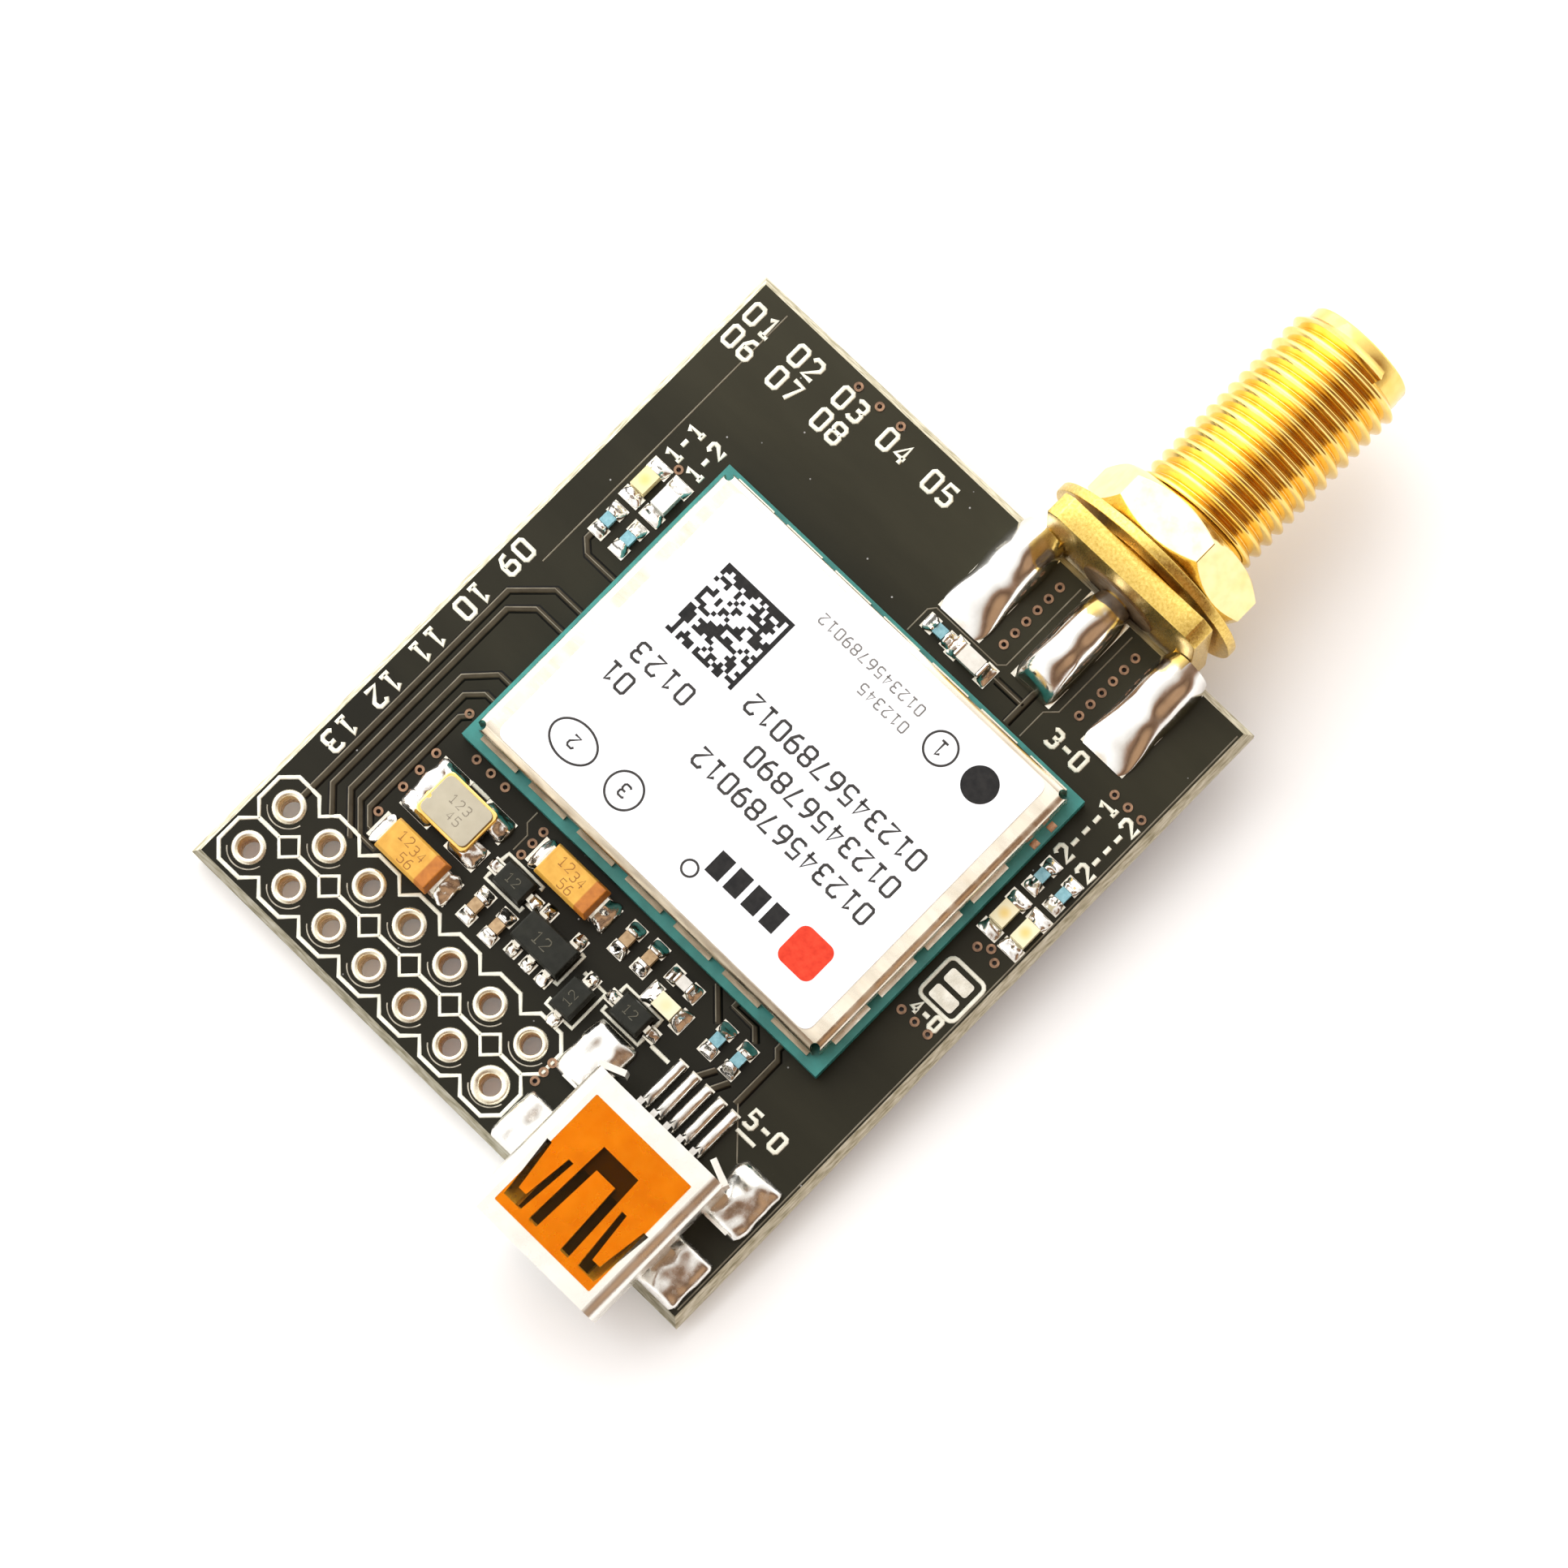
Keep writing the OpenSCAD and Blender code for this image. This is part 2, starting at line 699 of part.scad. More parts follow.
// Ground legs that hold the board between them
module jack_legs() {
    upper_z = -contact_d / 2;
    lower_z = upper_z - 2 * land_t - board_t - leg_w;
    for (x = [-leg_x, leg_x], z = [upper_z, lower_z])
        translate([x - leg_w / 2, -leg_l, z]) cube([leg_w, leg_l + overlap, leg_w]);
}

// Rings of the thread from y = 0 up to a length, on a core of the root diameter
module thread_rings(l) {
    root = barrel_d / 2 - thread_depth;
    crest = thread_pitch / 8;
    flank = (thread_pitch - 2 * crest) / 2;
    count = floor(l / thread_pitch);
    shift = l - count * thread_pitch;
    cylinder(r = root, h = l);
    for (i = [0 : count - 1])
        translate([0, 0, shift + i * thread_pitch]) rotate_extrude()
            polygon([
                [root - overlap, 0],
                [root, 0],
                [barrel_d / 2, flank],
                [barrel_d / 2, flank + crest],
                [root, 2 * flank + crest],
                [root - overlap, 2 * flank + crest]
            ]);
}

module jack_body() {
    thread_l = barrel_l - collar_l;
    color("#e0b443") at_jack() difference() {
        union() {
            along_y(flange_t) flange_outline();
            jack_legs();
            axis_along_y() {
                translate([0, 0, flange_t]) thread_rings(thread_l);
                translate([0, 0, flange_t]) cylinder(d = collar_d, h = barrel_l);
            }
        }
        axis_along_y() {
            translate([0, 0, -overlap]) cylinder(d = insulator_d, h = flange_t + barrel_l + 2 * overlap);
            translate([0, 0, flange_t + barrel_l - mouth_depth])
                cylinder(d = mouth_d, h = mouth_depth + overlap);
        }
    }
}

module jack_insulator() {
    length = insulator_out + flange_t + barrel_l - mouth_depth;
    color("#efece4") at_jack() axis_along_y() translate([0, 0, -insulator_out]) difference() {
        cylinder(d = insulator_d, h = length);
        translate([0, 0, -overlap]) cylinder(d = contact_d, h = length + 2 * overlap);
    }
}

// Centre contact: a tail that lies on the board and a slotted socket in the mouth
module jack_contact() {
    socket_end = flange_t + barrel_l - mouth_depth;
    slot_w = 0.16;
    slot_l = contact_depth * 0.7;
    color("#d8aa3c") at_jack() axis_along_y() difference() {
        translate([0, 0, -tail_l]) cylinder(d = contact_d, h = socket_end + tail_l);
        translate([0, 0, socket_end - contact_depth])
            cylinder(d = contact_bore_d, h = contact_depth + overlap);
        for (turn = [0, 90])
            rotate(turn)
                translate([0, 0, socket_end - slot_l])
                    block([contact_d + overlap, slot_w, slot_l + overlap]);
    }
}

module jack_washer() {
    color("#dcae44") at_jack() axis_along_y() translate([0, 0, washer_y]) difference() {
        cylinder(d = washer_d, h = washer_t, $fn = 96);
        translate([0, 0, -overlap])
            cylinder(d = barrel_d + 2 * thread_clearance, h = washer_t + 2 * overlap);
    }
}

// Hexagon with both faces chamfered by a cone
module jack_nut() {
    corner_r = nut_af / sqrt(3);
    face_r = nut_af / 2 - nut_chamfer;
    rise = (corner_r - face_r) * tan(nut_bevel);
    color("#e6be55") at_jack() axis_along_y() translate([0, 0, nut_y]) difference() {
        intersection() {
            rotate(nut_turn) cylinder(r = corner_r, h = nut_t, $fn = 6);
            rotate_extrude($fn = 96)
                polygon([
                    [0, 0],
                    [face_r, 0],
                    [corner_r, rise],
                    [corner_r, nut_t - rise],
                    [face_r, nut_t],
                    [0, nut_t]
                ]);
        }
        translate([0, 0, -overlap])
            cylinder(d = barrel_d + 2 * thread_clearance, h = nut_t + 2 * overlap);
    }
}

// Half ellipse drawn on the x axis
module half_ellipse(w, h) polygon([for (a = [0 : 15 : 180]) [w / 2 * cos(a), h * sin(a)]]);

// Solder mound on a land, from the flange at y = 0 back along -y, with a side outline of its own
module solder_mound(w, l, h, side_outline) {
    intersection() {
        translate([0, -l, 0]) along_y(l) half_ellipse(w, h);
        translate([-w / 2, 0, 0]) along_x(w) polygon(side_outline);
    }
}

// Mound over a ground leg, high over the leg and low on the bare end of its land
module ground_mound() {
    top = leg_w + leg_cover;
    crown = [-0.5, 0.3 - leg_l];
    step = -leg_l - 0.4;
    step_h = 0.5;
    solder_mound(
        ground_land_w,
        jack_land_l,
        top,
        [[0, 0], [0, 0.8 * top], [crown[0], top], [crown[1], top], [step, step_h], [-jack_land_l, 0]]
    );
}

module tail_mound() {
    top = contact_d + tail_cover;
    crown = [-0.6, 0.2 - tail_l];
    step = -tail_l - 0.25;
    step_h = 0.6;
    solder_mound(
        tail_land_w,
        jack_land_l,
        top,
        [[0, 0], [0, 0.7 * top], [crown[0], top], [crown[1], top], [step, step_h], [-jack_land_l, 0]]
    );
}

module jack_solder() {
    color("#d4d2cf") difference() {
        translate([jack_x, board_l - score_setback, 0]) {
            for (x = [-ground_land_x, ground_land_x]) {
                translate([x, 0, seat_z]) ground_mound();
                translate([x, 0, -land_t]) mirror([0, 0, 1]) ground_mound();
            }
            translate([0, 0, seat_z]) tail_mound();
        }
        at_jack() {
            jack_legs();
            axis_along_y() translate([0, 0, -tail_l]) cylinder(d = contact_d, h = tail_l);
        }
    }
}

// Mini-B socket, drawn with its mouth at y = 0 and its underside at z = 0

module at_socket() translate([socket_x, -socket_overhang, seat_z]) children();

// Section of the shell's outside, moved in by inset
module shell_section(inset) {
    half = shell_w / 2 - inset;
    floor_half = shell_floor_w / 2 - inset;
    run = (shell_w - shell_floor_w) / 2;
    rise = shell_shoulder - shell_waist;
    lift = inset * (norm([run, rise]) - rise) / run;
    top = shell_h - inset;
    bend = shell_bend - inset;
    intersection() {
        polygon([
            [-floor_half, inset],
            [floor_half, inset],
            [floor_half, shell_waist + lift],
            [half, shell_shoulder + lift],
            [half, top],
            [-half, top],
            [-half, shell_shoulder + lift],
            [-floor_half, shell_waist + lift]
        ]);
        union() {
            translate([-half, 0]) square([2 * half, top - bend]);
            translate([bend - half, 0]) square([2 * (half - bend), top]);
            for (side = [-1, 1]) translate([side * (half - bend), top - bend]) circle(bend);
        }
    }
}

// Cut around the middle spring: a window at its free end and a leg on either side
module middle_slot() {
    tip_half = 0.56;
    root_half = 0.72;
    gap = 0.48;
    tip_y = 4.75;
    window_y = 5.7;
    root_y = 1.2;
    polygon([
        [-tip_half - gap, window_y],
        [tip_half + gap, window_y],
        [root_half + gap, root_y],
        [root_half, root_y],
        [tip_half, tip_y],
        [-tip_half, tip_y],
        [-root_half, root_y],
        [-root_half - gap, root_y]
    ]);
}

// Cut around a side spring, whose free end points to the mouth
module side_slot() {
    tip = [2.02, 2.46];
    root = [1.76, 2.8];
    gap = 0.28;
    tip_y = 1.88;
    root_y = 4.25;
    window_y = 1.25;
    polygon([
        [root[0] - gap, root_y],
        [root[0], root_y],
        [tip[0], tip_y],
        [tip[1], tip_y],
        [root[1], root_y],
        [root[1] + gap, root_y],
        [tip[1] + gap, window_y],
        [tip[0] - gap, window_y]
    ]);
}

// Feet bent out of the side walls, two on each side
module socket_feet() {
    wall_x = shell_w / 2;
    for (side = [0, 1], y = foot_places)
        mirror([side, 0, 0]) translate([0, y - foot_w / 2, 0]) {
            translate([wall_x - shell_sheet, 0, 0]) cube([shell_sheet, foot_w, shell_shoulder + overlap]);
            translate([wall_x - shell_sheet, 0, 0]) cube([foot_reach + shell_sheet, foot_w, shell_sheet]);
        }
}

// Flaps that fold in behind the housing at the shell's rear corners
module rear_flaps() {
    flap_w = 1.3;
    flap_lift = 0.2;
    flap_h = shell_h - shell_shoulder - shell_bend;
    fold = 22;
    for (side = [0, 1])
        mirror([side, 0, 0])
            translate([shell_w / 2, shell_l - overlap, shell_shoulder + flap_lift])
                rotate(-fold)
                    translate([-flap_w, 0, 0])
                        cube([flap_w, shell_sheet, flap_h]);
}

module socket_shell() {
    color("#e9e5da") at_socket() {
        difference() {
            along_y(shell_l) shell_section(0);
            translate([0, -overlap, 0]) along_y(shell_l + 2 * overlap) shell_section(shell_sheet);
            translate([0, 0, shell_h - shell_sheet - overlap]) linear_extrude(shell_sheet + 2 * overlap) {
                middle_slot();
                side_slot();
                mirror([1, 0]) side_slot();
            }
        }
        socket_feet();
        rear_flaps();
    }
}

// Path of a contact in y and z: along the tongue, down behind the shell and out along its land
module contact_outline() {
    tip = tongue_y + contact_setback;
    back = shell_l + contact_setback;
    polygon([
        [tip, contact_z],
        [back, contact_z],
        [back, 0],
        [contact_foot_end, 0],
        [contact_foot_end, contact_sheet],
        [back + contact_sheet, contact_sheet],
        [back + contact_sheet, contact_z + contact_sheet],
        [tip, contact_z + contact_sheet]
    ]);
}

module contacts() {
    for (x = contact_places) translate([x - contact_w / 2, 0, 0]) along_x(contact_w) contact_outline();
}

module socket_contacts() {
    color("#d6b458") at_socket() contacts();
}

module socket_housing() {
    color("#1c1c1e") at_socket() difference() {
        union() {
            translate([0, housing_y, 0])
                along_y(shell_l - housing_y) shell_section(shell_sheet + housing_clearance);
            translate([-tongue_w / 2, tongue_y, contact_z + contact_sheet])
                cube([tongue_w, housing_y - tongue_y + overlap, tongue_t]);
        }
        for (x = contact_places)
            translate([x - contact_w / 2, 0, contact_z]) cube([contact_w, shell_l + overlap, contact_sheet]);
    }
}

module socket_film() {
    film_y = 0.8;
    color("#f08c0a") at_socket()
        translate([0, film_y + film_l / 2, shell_h]) block([film_w, film_l, film_t]);
}

module socket_solder() {
    foot_cover = 0.2;
    contact_cover = 0.1;
    color("#d4d2cf") difference() {
        translate([socket_x, 0, seat_z]) {
            for (side = [-1, 1], y = socket_lands_y)
                translate([side * socket_land_x, y, 0])
                    beveled_block(socket_land_w, socket_land_l, shell_sheet + foot_cover, 0.25, 0.1);
            for (x = contact_places)
                translate([x, contact_land_y, 0])
                    beveled_block(contact_land_w, contact_land_l, contact_sheet + contact_cover, 0.1, 0.05);
        }
        at_socket() {
            socket_feet();
            contacts();
        }
    }
}

// Crystal oscillator

module oscillator_base() {
    color("#d9a441") placed(crystal_place) rounded_plate(crystal_l, crystal_w, crystal_base_h, crystal_r);
}

module oscillator_lid() {
    lid_w = crystal_w - 2 * crystal_rim;
    lid_l = crystal_l - 2 * crystal_rim;
    notch_r = 0.12;
    color("#c9c2b0") placed(crystal_place) translate([0, 0, crystal_base_h]) difference() {
        rounded_plate(lid_l, lid_w, crystal_lid_t, crystal_r);
        translate([-lid_l / 2, -lid_w / 6, -overlap])
            cylinder(r = notch_r, h = crystal_lid_t + 2 * overlap);
    }
}

module oscillator_solder() {
    mound_h = 0.22;
    color("#d4d2cf") placed(crystal_place) difference() {
        for (x = [-1, 1], y = [-1, 1])
            translate([x * crystal_land_x, y * crystal_land_y, 0])
                beveled_block(crystal_land_w, crystal_land_l, mound_h, 0.12, 0.04);
        block([crystal_l, crystal_w, crystal_base_h]);
    }
}

// Moulded parts with leads

module tantalum_capacitor(place) {
    color("#eda236") placed(place) translate([0, 0, lead_sheet])
        beveled_block(tantalum_l, tantalum_w, tantalum_h, 0.12, tantalum_h * 0.45);
}

// Strips that come out at half height and fold down and under each end
module tantalum_terminals() {
    strip_top = lead_sheet + tantalum_h / 2;
    strip_l = 0.8;
    color("#d8d6d0")
        for (place = tantalum_places)
            placed(place)
                for (turn = [0, 180])
                    rotate(turn) translate([tantalum_l / 2, -tantalum_strip_w / 2, 0]) {
                        cube([lead_sheet, tantalum_strip_w, strip_top]);
                        translate([-strip_l, 0, 0])
                            cube([strip_l + lead_sheet, tantalum_strip_w, lead_sheet]);
                    }
}

// Gull-wing lead that leaves a body of height h at y = 0 and lands at y = lead_reach
module gull_lead(h) {
    out = body_lift + h / 2;
    knee = lead_reach * 0.35;
    translate([-lead_w / 2, 0, 0]) along_x(lead_w)
        polygon([
            [0, out - lead_sheet],
            [knee - lead_sheet, out - lead_sheet],
            [knee - lead_sheet, 0],
            [lead_reach, 0],
            [lead_reach, lead_sheet],
            [knee, lead_sheet],
            [knee, out],
            [0, out]
        ]);
}

module moulded_body(l, w, h) translate([0, 0, body_lift]) beveled_block(l, w, h, 0.08, h * 0.4);

module regulator_body() {
    color("#2b2b2d") placed(regulator_place) moulded_body(regulator_l, regulator_w, regulator_h);
}

module regulator_leads() {
    color("#c9c9c6") placed(regulator_place)
        for (lead = regulator_lead_places)
            translate([lead.x, lead.y * regulator_w / 2, 0])
                rotate(lead.y > 0 ? 0 : 180)
                    gull_lead(regulator_h);
}

module diode(place) {
    color("#2d2d2e") placed(place) moulded_body(diode_l, diode_w, diode_h);
}

module diode_leads() {
    color("#c9c9c6")
        for (place = diode_places)
            placed(place)
                for (turn = [90, 270])
                    rotate(turn) translate([0, diode_l / 2, 0]) gull_lead(diode_h);
}

// Chip parts

module chip_capacitor(place) {
    color("#c49a62") placed(place) block([chip_l - 2 * chip_end_l, chip_w, capacitor_h]);
}

module chip_resistor(place) {
    color("#86bccb") placed(place) block([chip_l - 2 * chip_end_l, chip_w, resistor_h]);
}

module ferrite_bead() {
    color("#ece9e2") placed(bead_place) block([chip_l - 2 * chip_end_l, chip_w, capacitor_h]);
}

module antenna_coil() {
    color("#f2f0ea") placed(coil_place) block([large_chip_l - 2 * chip_end_l, large_chip_w, coil_h]);
}

// Base plate with a clear moulding on top
module light(place) {
    color("#f2e7bd") placed(place) {
        block([large_chip_l - 2 * chip_end_l, large_chip_w, light_base_h]);
        block([light_lens_l, large_chip_w, light_height]);
    }
}

module chip_ends(l, w, h) {
    for (side = [-1, 1]) translate([side * (l - chip_end_l) / 2, 0, 0]) block([chip_end_l, w, h]);
}

module chip_terminals() {
    color("#cfcdc8") {
        for (place = capacitor_places) placed(place) chip_ends(chip_l, chip_w, capacitor_h);
        for (place = resistor_places) placed(place) chip_ends(chip_l, chip_w, resistor_h);
        placed(bead_place) chip_ends(chip_l, chip_w, capacitor_h);
        placed(coil_place) chip_ends(large_chip_l, large_chip_w, coil_h);
        for (place = concat(light_places, [power_light_place]))
            placed(place) chip_ends(large_chip_l, large_chip_w, light_base_h);
    }
}

// Hollow fillet of solder against each end of a part of length l and width w
module end_fillets(l, w, h) {
    r = land_reach;
    for (turn = [0, 180])
        rotate(turn) translate([l / 2, -w / 2, 0]) along_y(w)
            polygon([[0, 0], [r, 0], [0.55 * r, 0.2 * h], [0.2 * r, 0.6 * h], [0, h]]);
}

module chip_solder() {
    color("#d4d2cf") {
        for (place = capacitor_places) placed(place) end_fillets(chip_l, chip_w, 0.85 * capacitor_h);
        for (place = resistor_places) placed(place) end_fillets(chip_l, chip_w, resistor_h);
        placed(bead_place) end_fillets(chip_l, chip_w, 0.85 * capacitor_h);
        placed(coil_place) end_fillets(large_chip_l, large_chip_w, 0.85 * coil_h);
        for (place = concat(light_places, [power_light_place]))
            placed(place) end_fillets(large_chip_l, large_chip_w, light_base_h);
        for (place = tantalum_places)
            placed(place) end_fillets(tantalum_l + 2 * lead_sheet, tantalum_strip_w, tantalum_h / 3);
    }
}

from_pin_1() circuit_board();
from_pin_1() header_lands();
from_pin_1() vias();
from_pin_1() surface_lands();
from_pin_1() module_carrier();
from_pin_1() module_shield();
from_pin_1() module_label();
from_pin_1() receiver_chip();
from_pin_1() memory_chip();
from_pin_1() module_clock();
from_pin_1() band_filters();
from_pin_1() module_passives();
from_pin_1() jack_body();
from_pin_1() jack_insulator();
from_pin_1() jack_contact();
from_pin_1() jack_washer();
from_pin_1() jack_nut();
from_pin_1() jack_solder();
from_pin_1() socket_shell();
from_pin_1() socket_housing();
from_pin_1() socket_contacts();
from_pin_1() socket_film();
from_pin_1() socket_solder();
from_pin_1() oscillator_base();
from_pin_1() oscillator_lid();
from_pin_1() oscillator_solder();
for (i = [0 : len(tantalum_places) - 1])
    from_pin_1() tantalum_capacitor(tantalum_places[i]);
from_pin_1() tantalum_terminals();
from_pin_1() regulator_body();
from_pin_1() regulator_leads();
for (i = [0 : len(diode_places) - 1])
    from_pin_1() diode(diode_places[i]);
from_pin_1() diode_leads();
for (i = [0 : len(capacitor_places) - 1])
    from_pin_1() chip_capacitor(capacitor_places[i]);
for (i = [0 : len(resistor_places) - 1])
    from_pin_1() chip_resistor(resistor_places[i]);
from_pin_1() ferrite_bead();
from_pin_1() antenna_coil();
for (i = [0 : len(light_places) - 1])
    from_pin_1() light(light_places[i]);
from_pin_1() light(power_light_place);  // power_light
from_pin_1() chip_terminals();
from_pin_1() chip_solder();
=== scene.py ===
import math
import random

import bmesh
import bpy
from mathutils import Matrix, Vector, noise


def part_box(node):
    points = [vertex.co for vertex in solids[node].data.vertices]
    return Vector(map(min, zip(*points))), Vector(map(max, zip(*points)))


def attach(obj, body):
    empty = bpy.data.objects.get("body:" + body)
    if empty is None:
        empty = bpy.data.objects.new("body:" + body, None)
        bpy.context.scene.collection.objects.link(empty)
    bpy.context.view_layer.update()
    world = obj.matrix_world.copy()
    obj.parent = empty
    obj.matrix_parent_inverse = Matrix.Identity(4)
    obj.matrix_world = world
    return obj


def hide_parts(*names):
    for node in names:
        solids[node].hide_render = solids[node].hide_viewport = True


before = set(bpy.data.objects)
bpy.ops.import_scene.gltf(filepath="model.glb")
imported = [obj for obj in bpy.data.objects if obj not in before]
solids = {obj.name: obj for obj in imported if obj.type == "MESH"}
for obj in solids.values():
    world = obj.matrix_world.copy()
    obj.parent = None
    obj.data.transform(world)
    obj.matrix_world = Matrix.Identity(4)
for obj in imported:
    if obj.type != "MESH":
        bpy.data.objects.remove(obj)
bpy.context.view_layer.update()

# Carrier board: a glass-fibre sheet under near-black solder mask, scored and snapped out of a larger panel.
# The source's solid is kept; mask covers its flat faces, and the broken edges show pale fibre.
MM = 0.001
BOARD_TOP = 1.6
SEAT = 1.65
BOARD_MIDDLE = (13.353, 16.435)


def make_node(tree, kind, wires=(), settings=(), **values):
    """Shader node with its properties, its socket values and its incoming wires."""
    made = tree.nodes.new("ShaderNode" + kind)
    for name, value in dict(settings).items():
        setattr(made, name, value)
    for name, value in values.items():
        made.inputs[name.replace("_", " ")].default_value = value
    for name, source in dict(wires).items():
        tree.links.new(source, made.inputs[name])
    return made


def own_place(tree, stretch=(1, 1, 1)):
    """Object coordinates of the piece, stretched where a pattern has a direction."""
    place = make_node(tree, "TexCoord").outputs["Object"]
    if stretch == (1, 1, 1):
        return place
    return make_node(tree, "Mapping", {"Vector": place}, Scale=stretch).outputs["Vector"]


def speckle(tree, size, detail=4.0, stretch=(1, 1, 1)):
    """Noise whose patches are about one size across, in mm."""
    place = own_place(tree, stretch)
    return make_node(tree, "TexNoise", {"Vector": place}, Scale=1 / (size * MM), Detail=detail).outputs["Fac"]


def graded(tree, source, *stops):
    """Colour ramp with stops of a place and a colour or a grey."""
    ramp = make_node(tree, "ValToRGB", {"Fac": source})
    band = ramp.color_ramp.elements
    while len(band) < len(stops):
        band.new(0.5)
    for point, (place, tone) in zip(band, stops):
        point.position = place
        point.color = (*tone, 1) if isinstance(tone, tuple) else (tone, tone, tone, 1)
    return ramp.outputs["Color"]


def blended(tree, share, first, second):
    """Mix of two colours, each a wire, by a share from 0 to 1."""
    mix = make_node(tree, "Mix", settings={"data_type": "RGBA"})
    tree.links.new(share, mix.inputs["Factor"])
    tree.links.new(first, mix.inputs[6])
    tree.links.new(second, mix.inputs[7])
    return mix.outputs[2]


def combined(tree, operation, first, second):
    """Two colours, each a wire, joined by a vector operation."""
    return make_node(tree, "VectorMath", {0: first, 1: second}, {"operation": operation}).outputs["Vector"]


def share_between(tree, source, start, end):
    """Share from 0 to 1 of the way that a value has gone from a start to an end."""
    return make_node(tree, "MapRange", {"Value": source}, From_Min=start, From_Max=end).outputs["Result"]


def make_finish(name, deep, pale, patch, rough, metallic=0.0, grain=(), stretch=(1, 1, 1), specular=0.5):
    """Finish mottled between two colours, with its roughness in a range and a fine grain (size, height in mm)."""
    finish = bpy.data.materials.new(name)
    finish.use_nodes = True
    tree = finish.node_tree
    shader = tree.nodes["Principled BSDF"]
    shader.inputs["Metallic"].default_value = metallic
    shader.inputs["Specular IOR Level"].default_value = specular
    tone = graded(tree, speckle(tree, patch, 5.0, stretch), (0.3, deep), (0.7, pale))
    tree.links.new(tone, shader.inputs["Base Color"])
    gloss = graded(tree, speckle(tree, 0.6 * patch, 3.0, stretch), (0.35, rough[0]), (0.65, rough[1]))
    tree.links.new(gloss, shader.inputs["Roughness"])
    if grain:
        relief = speckle(tree, grain[0], 3.0, stretch)
        bump = make_node(tree, "Bump", {"Height": relief}, Strength=1.0, Distance=grain[1] * MM)
        tree.links.new(bump.outputs["Normal"], shader.inputs["Normal"])
    return finish


def dress(finish, *names):
    """Gives CAD nodes a finish."""
    for name in names:
        for slot in solids[name].material_slots:
            slot.material = finish


def ease_edges(width, *names):
    """Rounds the edges of CAD nodes by a width in mm."""
    for name in names:
        weld = solids[name].modifiers.new("weld", "WELD")
        weld.merge_threshold = 0.0005 * MM
        flat = solids[name].modifiers.new("flat", "DECIMATE")
        flat.decimate_type = "DISSOLVE"
        flat.angle_limit = math.radians(1)
        soft = solids[name].modifiers.new("soft", "BEVEL")
        soft.width = width * MM
        soft.segments = 2
        soft.limit_method = "ANGLE"
        soft.angle_limit = math.radians(35)


MASK_SPECULAR = 0.16
SHEEN_POUR_SPAN = (9.5, 32.0)
POUR_SIDE = (23.4, 24.0)
board_finish = make_finish("masked_board", (0.022, 0.020, 0.010), (0.034, 0.031, 0.017), 3.0, (0.36, 0.48),
                           grain=(0.25, 0.003), stretch=(0.25, 1, 1), specular=MASK_SPECULAR)
board_tree = board_finish.node_tree
board_shader = board_tree.nodes["Principled BSDF"]
facing = make_node(board_tree, "TexCoord").outputs["Normal"]
faced = make_node(board_tree, "SeparateXYZ", {"Vector": facing}).outputs
flatness = make_node(board_tree, "Math", {0: faced["Z"]}, {"operation": "ABSOLUTE"}).outputs["Value"]
on_face = graded(board_tree, flatness, (0.9, 0.0), (0.95, 1.0))
fibre = graded(board_tree, speckle(board_tree, 0.22, 6.0, (0.3, 0.3, 2.0)),
               (0.32, (0.34, 0.31, 0.20)), (0.5, (0.60, 0.56, 0.42)), (0.68, (0.80, 0.77, 0.64)))
# Painted shade: the fibre on edges that face -Y is darkened.
front_edge_shade = graded(board_tree, share_between(board_tree, faced["Y"], -1.0, 0.0), (0.1, 0.45), (0.6, 0.9))
edge_tone = combined(board_tree, "MULTIPLY", fibre, front_edge_shade)
mask_tone = board_shader.inputs["Base Color"].links[0].from_socket
spread = make_node(board_tree, "SeparateXYZ", {"Vector": own_place(board_tree)}).outputs
# The mask is lighter towards +Y, partly as a painted sheen and partly from the copper pour under it; past POUR_SIDE in
# X the pour lightens it too.
sheen_pour_share = share_between(board_tree, spread["Y"], SHEEN_POUR_SPAN[0] * MM, SHEEN_POUR_SPAN[1] * MM)
sheen_pour_tone = graded(board_tree, sheen_pour_share, (0.0, 0.42), (0.05, 0.62), (0.7, 0.72), (1.0, 1.0))
side = share_between(board_tree, spread["X"], POUR_SIDE[0] * MM, POUR_SIDE[1] * MM)
pour_and_sheen = combined(board_tree, "MAXIMUM", sheen_pour_tone, graded(board_tree, side, (0.0, 0.0), (1.0, 0.72)))
covered = combined(board_tree, "MULTIPLY", mask_tone, pour_and_sheen)
specks = make_node(board_tree, "TexVoronoi", {"Vector": own_place(board_tree)}, Scale=1 / (1.2 * MM))
dust = graded(board_tree, specks.outputs["Distance"], (0.02, 1.0), (0.045, 0.0))
lint = graded(board_tree, speckle(board_tree, 2.0), (0.3, 0.25), (0.7, 0.6))
face_tone = blended(board_tree, dust, covered, lint)
board_tree.links.new(blended(board_tree, on_face, edge_tone, face_tone), board_shader.inputs["Base Color"])
mask_gloss = board_shader.inputs["Roughness"].links[0].from_socket
edge_gloss = graded(board_tree, speckle(board_tree, 0.3), (0.3, 0.75), (0.7, 0.95))
board_tree.links.new(blended(board_tree, on_face, edge_gloss, mask_gloss), board_shader.inputs["Roughness"])
dress(board_finish, "circuit_board")

# Copper tracks: etched copper lines that show as faint brown ridges through the solder mask.
# Each is a flat ribbon on the board's upper face, with a dark gap along it and a painted highlight along one edge.
GAP_SIZE = (0.44, 0.006)
TRACK_SIZE = (0.28, 0.03)
RIDGE_SIZE = (0.075, 0.036)
RIDGE_SHIFT = -0.13


def from_middle(points):
    """Points measured from the board's middle, moved to the part's frame."""
    return [(x + BOARD_MIDDLE[0], y + BOARD_MIDDLE[1]) for x, y in points]


